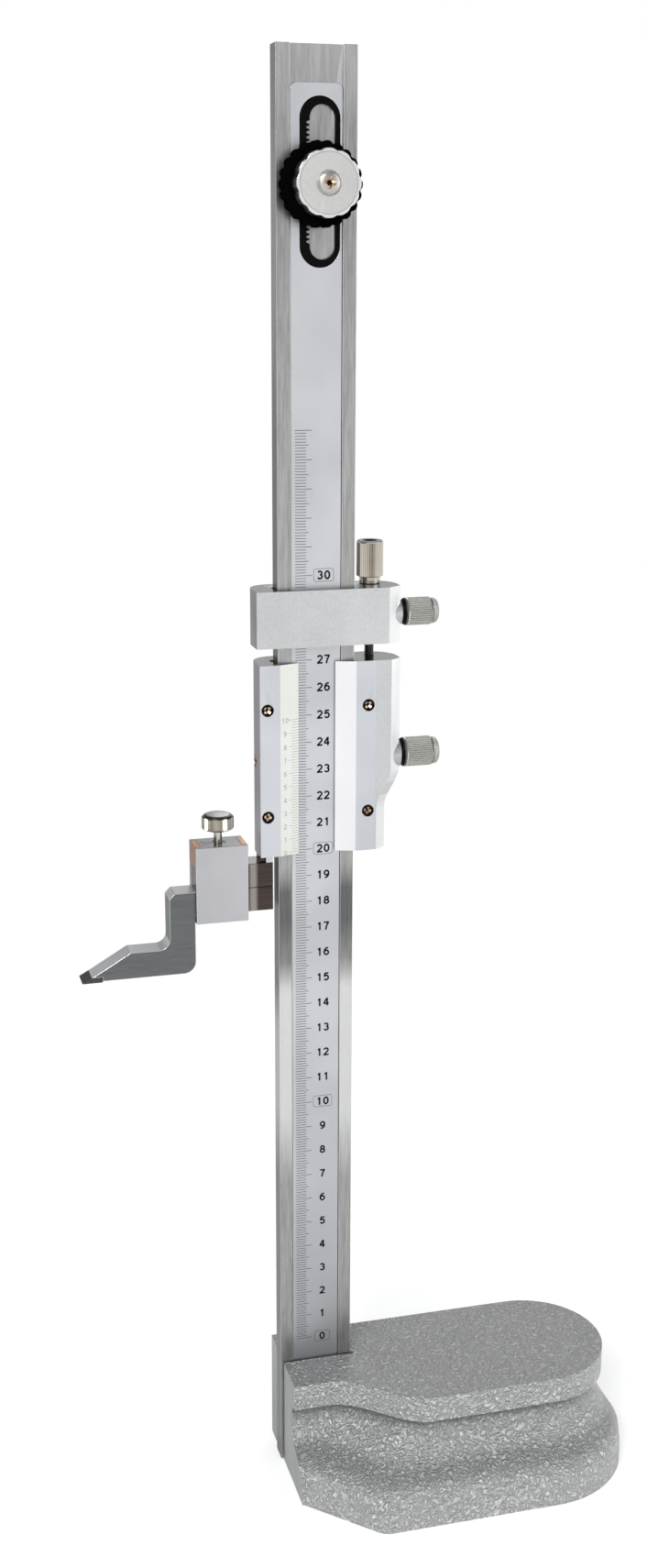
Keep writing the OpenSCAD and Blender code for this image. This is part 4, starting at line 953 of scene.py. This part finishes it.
def diamondTree():  # small pyramids in staggered rows round an axis
    tree, entry = newTree("diamonds", ["Around", "Rows"],
                          ["Radius", "Rise", "Half width", "Half height", "Row step", "Start"])
    count = calc(tree, "MULTIPLY", entry["Around"], entry["Rows"])
    points = flow(tree, "GeometryNodePoints", ("Count", count))
    index = flow(tree, "GeometryNodeInputIndex")
    row = calc(tree, "FLOOR", calc(tree, "DIVIDE", index, entry["Around"]))
    stagger = calc(tree, "MULTIPLY", calc(tree, "MODULO", row, 2.0), 0.5)
    place = calc(tree, "ADD", calc(tree, "MODULO", index, entry["Around"]), stagger)
    angle = aroundAxis(tree, place, entry["Around"])
    x, y = (calc(tree, "MULTIPLY", calc(tree, way, angle), entry["Radius"]) for way in ("COSINE", "SINE"))
    z = calc(tree, "ADD", entry["Start"], calc(tree, "MULTIPLY", row, entry["Row step"]))
    spot = vector(tree, X=x, Y=y, Z=z)
    points = flow(tree, "GeometryNodeSetPosition", ("Geometry", points), ("Position", spot))
    cone = flow(tree, "GeometryNodeMeshCone", ("Vertices", 4), ("Radius Top", 0.0), ("Radius Bottom", 1.0),
                ("Depth", 1.0))
    cone = flow(tree, "GeometryNodeTransform", ("Geometry", cone), ("Rotation", (0.0, pi / 2, 0.0)))
    size = vector(tree, X=entry["Rise"], Y=entry["Half width"], Z=entry["Half height"])
    turn = vector(tree, Z=angle)
    return closeTree(tree, entry, spread(tree, points, cone, ("Rotation", turn), ("Scale", size)))


def threadTree():  # a sharp ridge wound along a screw
    tree, entry = newTree("thread", [], ["Turns", "Radius", "Length", "Ridge"])
    path = flow(tree, "GeometryNodeCurveSpiral", ("Resolution", 20), ("Rotations", entry["Turns"]),
                ("Start Radius", entry["Radius"]), ("End Radius", entry["Radius"]),
                ("Height", entry["Length"]))
    path = flow(tree, "GeometryNodeSetCurveNormal", (0, path), mode="Z_UP")
    ridge = flow(tree, "GeometryNodeCurvePrimitiveCircle", ("Resolution", 4), ("Radius", entry["Ridge"]))
    wound = flow(tree, "GeometryNodeCurveToMesh", (0, path), ("Profile Curve", ridge), ("Fill Caps", True))
    return closeTree(tree, entry, wound)


ribs, diamonds, thread = ribTree(), diamondTree(), threadTree()

nutPlan = {
    "bore": 1.85, "sleeve": 2.8, "groove": (2.3, 79.2, 80.8), "neck": (3.7, 95.25), "knurlFrom": 97.7,
    "count": 38, "deep": 0.44, "mouth": (2.6, 6.4),
}


def makeNut(plan):
    start, stop, axis = onAxis("feed_nut")
    tip = (stop.x - start.x) / 2 - 0.02
    core, low, high, bottom = tip - plan["deep"], plan["knurlFrom"], stop.z, start.z
    bore, sleeve = plan["bore"], plan["sleeve"]
    groove, grooveFrom, grooveTo = plan["groove"]
    (neck, neckFrom), (mouth, mouthDeep) = plan["neck"], plan["mouth"]
    body = turned([
        (bore, bottom), (sleeve, bottom), (sleeve, grooveFrom), (groove, grooveFrom), (groove, grooveTo),
        (sleeve, grooveTo), (sleeve, neckFrom), (neck - 0.2, neckFrom), (neck, neckFrom + 0.2),
        (neck, low - 0.2), (neck + 0.2, low), (core, low + 0.05), (core, high - 0.75), (tip - 0.05, high - 0.7),
        (tip - 0.05, high - 0.35), (tip - 0.4, high), (mouth + 0.15, high), (mouth, high - 0.15),
        (mouth, high - mouthDeep), (bore, high - mouthDeep), (bore, bottom),
    ], 64, "nickel", 28, {
        # painted light: the darker nickel between the ribs, on the top ring and in the mouth and the black at
        # its floor are painted shade, the chamfer a painted highlight
        11: "nickelDark", 14: "edgeBright", 15: "nickelDark", 17: "nickelDark", 18: "slotBlack",
    })
    bars = grown(ribs, "nickel", {"Count": plan["count"]}, {"Radius": core, "Side": (tip - core) * sqrt(2),
                                                            "Length": high - low - 0.95, "Start": low + 0.2})
    mesh = joined("feedNut", body, bars)
    mesh.transform(axis)
    bringIn(mesh, "feedNut", "fine_nut", "feed_nut", slot="nickel")


makeNut(nutPlan)

screwPlan = {"axis": (36.0, 8.7), "bottom": 52.03, "top": 97.03, "outerR": 1.8, "rootR": 1.45, "pitch": 0.7}


def makeFeedScrew(plan):
    root, bottom, top = plan["rootR"], plan["bottom"], plan["top"]
    length = top - bottom - 1.0
    core = turned([(0, bottom), (root, bottom), (root, top - 0.3), (root - 0.3, top), (0, top)], 32,
                  "threadSteel")
    ridge = grown(thread, "threadSteel", {"Turns": length / plan["pitch"]},
                  {"Radius": root + 0.02, "Length": length, "Ridge": plan["outerR"] - root - 0.03},
                  Matrix.Translation((0, 0, (bottom + 0.5) * mm)))
    mesh = joined("feedScrew", core, ridge)
    mesh.transform(Matrix.Translation(onSlider(*plan["axis"], 0.0)))
    bringIn(mesh, "feedScrew", "slider", "feed_screw", slot="dark_steel")


makeFeedScrew(screwPlan)

clampPlan = {"deep": 0.34, "pitch": 0.87, "boreR": 2.03, "grip": 0.65}


def makeClampKnob(name, node, body, plan):
    start, stop = boxOnSlider(node)
    middle = (start + stop) / 2
    end, r = stop.x - start.x, (stop.z - start.z) / 2 - 0.02
    core, bore, hole = r - plan["deep"], plan["boreR"], plan["grip"] * end + 0.03
    profile = [(0, hole), (bore, hole), (bore, 0.0), (r - 0.9, 0.0), (r - 0.15, 0.85), (r - 0.1, 1.0),
               (r - 0.1, 1.5), (r, 1.55), (r, 1.95), (core, 2.0), (core, end - 2.95), (r - 0.08, end - 2.9),
               (r - 0.08, end - 2.7), (r - 0.55, end - 2.6), (r - 0.55, end - 2.2), (r - 0.4, end - 2.0),
               (r - 0.45, end - 1.2), (r - 0.75, end - 0.55), (r - 1.35, end - 0.12), (r - 2.2, end), (0, end)]
    # painted light: black on the left face and chamfer and darker grey in the grooves and steps are painted
    # shade, two bright rings are painted highlights
    bands = {2: "slotBlack", 3: "slotBlack", 7: "edgeBright", 11: "edgeBright"}
    bands.update({band: "knobGroove" for band in (4, 5, 8, 9, 10, 12, 13)})
    rib = r - core + 0.03
    bars = grown(ribs, "greyKnob", {"Count": round(2 * pi * r / plan["pitch"])},
                 {"Radius": core - 0.03, "Side": rib * sqrt(2) * 0.98, "Length": end - 5.0, "Start": 2.02})
    mesh = joined(name, turned(profile, 64, "greyKnob", 40, bands), bars)
    onItsSide = Matrix.Rotation(radians(90), 4, "Y")
    mesh.transform(Matrix.Translation(onSlider(start.x, middle.y, middle.z)) @ onItsSide)
    bringIn(mesh, name, body, node, slot="grey_knob")


makeClampKnob("sliderClampKnob", "slider_clamp_knob", "slider_clamp", clampPlan)
makeClampKnob("carrierClampKnob", "carrier_clamp_knob", "carrier_clamp", clampPlan)

thumbPlan = {"shank": 1.5, "head": 5.6, "deep": 0.3, "around": 44, "rows": 9}


def makeThumbScrew(plan):
    start, stop, axis = onAxis("thumb_screw")
    tip = (stop.x - start.x) / 2 - 0.03
    core, low, high, seat = tip - plan["deep"], stop.z - plan["head"], stop.z, start.z
    shank = plan["shank"]
    body = turned([(0, seat), (shank - 0.3, seat), (shank, seat + 0.3), (shank, low), (core - 0.55, low),
                   (core, low + 0.5), (core, high - 1.1), (core + 0.1, high - 1.0),
                   (core - 0.35, high - 0.35), (core - 1.1, high), (0, high)],
                  # the darker nickel on the core round the diamonds, under the head and on its top is painted
                  # shade
                  72, "nickelDark", 28, {1: "nickel", 2: "nickel", 3: "nickel", 9: "thumbTop"})
    rowStep = (high - low - 1.9) / (plan["rows"] - 1)
    knurl = grown(diamonds, "nickel", {"Around": plan["around"], "Rows": plan["rows"]}, {
        "Radius": core + (tip - core) * 0.5 - 0.02, "Rise": tip - core, "Row step": rowStep,
        "Half width": pi * core / plan["around"] * 0.96, "Half height": rowStep * 0.96, "Start": low + 0.7,
    })
    mesh = joined("thumbScrew", body, knurl)
    mesh.transform(axis)
    bringIn(mesh, "thumbScrew", "thumb", "thumb_screw", slot="nickel")


makeThumbScrew(thumbPlan)
print("knurled knobs, nut and thread are cut")

# jaw, clamp box and scriber
jawPlan = {"splitX": -11.7}  # the scriber's shank is ground dark to the right of this


def jawPaint(spot, normal):
    # ground top and bottom, painted dark as a reflection
    if abs(normal.z) > 0.85:
        return "bodyPolish"


def boxPaint(spot, normal):
    # the ground top painted dark as a reflection, the sides in painted shade, narrow edges in painted highlight
    if abs(normal.z) > 0.85:
        return "boxTop"
    if abs(normal.x) > 0.85:
        return "bodyShade"
    return edgePaint(spot, normal)


def scriberPaint(spot, normal):
    # right of splitX the shank is ground dark; the top and the left side in lighter tones as painted light,
    # front bevels in painted highlight
    if spot.x > jawPlan["splitX"]:
        return "darkSteel"
    if normal.z > 0.25:
        return "scriberTop"
    if normal.x < -0.5:
        return "scriberSide"
    if tilt(normal) < 0.97 and normal.y < -0.2:
        return "edgeBright"


refine("measuring_jaw", "measuringJaw", "slider", "darkSteel", "dark_steel", 0.2, 3, paint=jawPaint)
refine("jaw_dowels", "jawDowels", "slider", "plainSteel", "ground_steel", 0.1)
refine("scriber_clamp_box", "clampBox", "clamp_box", "boxSatin", "satin_chrome", 0.25, 3, paint=boxPaint)
refine("clamp_clip", "clampClip", "clamp_box", "bronze", "bronze", 0.12)
refine("scriber", "scriberBar", "scriber_bar", "scriberGrey", "dark_steel", 0.25, 3, paint=scriberPaint,
       cut=jawPlan["splitX"])
refine("carbide_tip", "carbideTip", "scriber_bar", "carbide", "carbide", 0.08)
print("jaw and scriber are fitted")
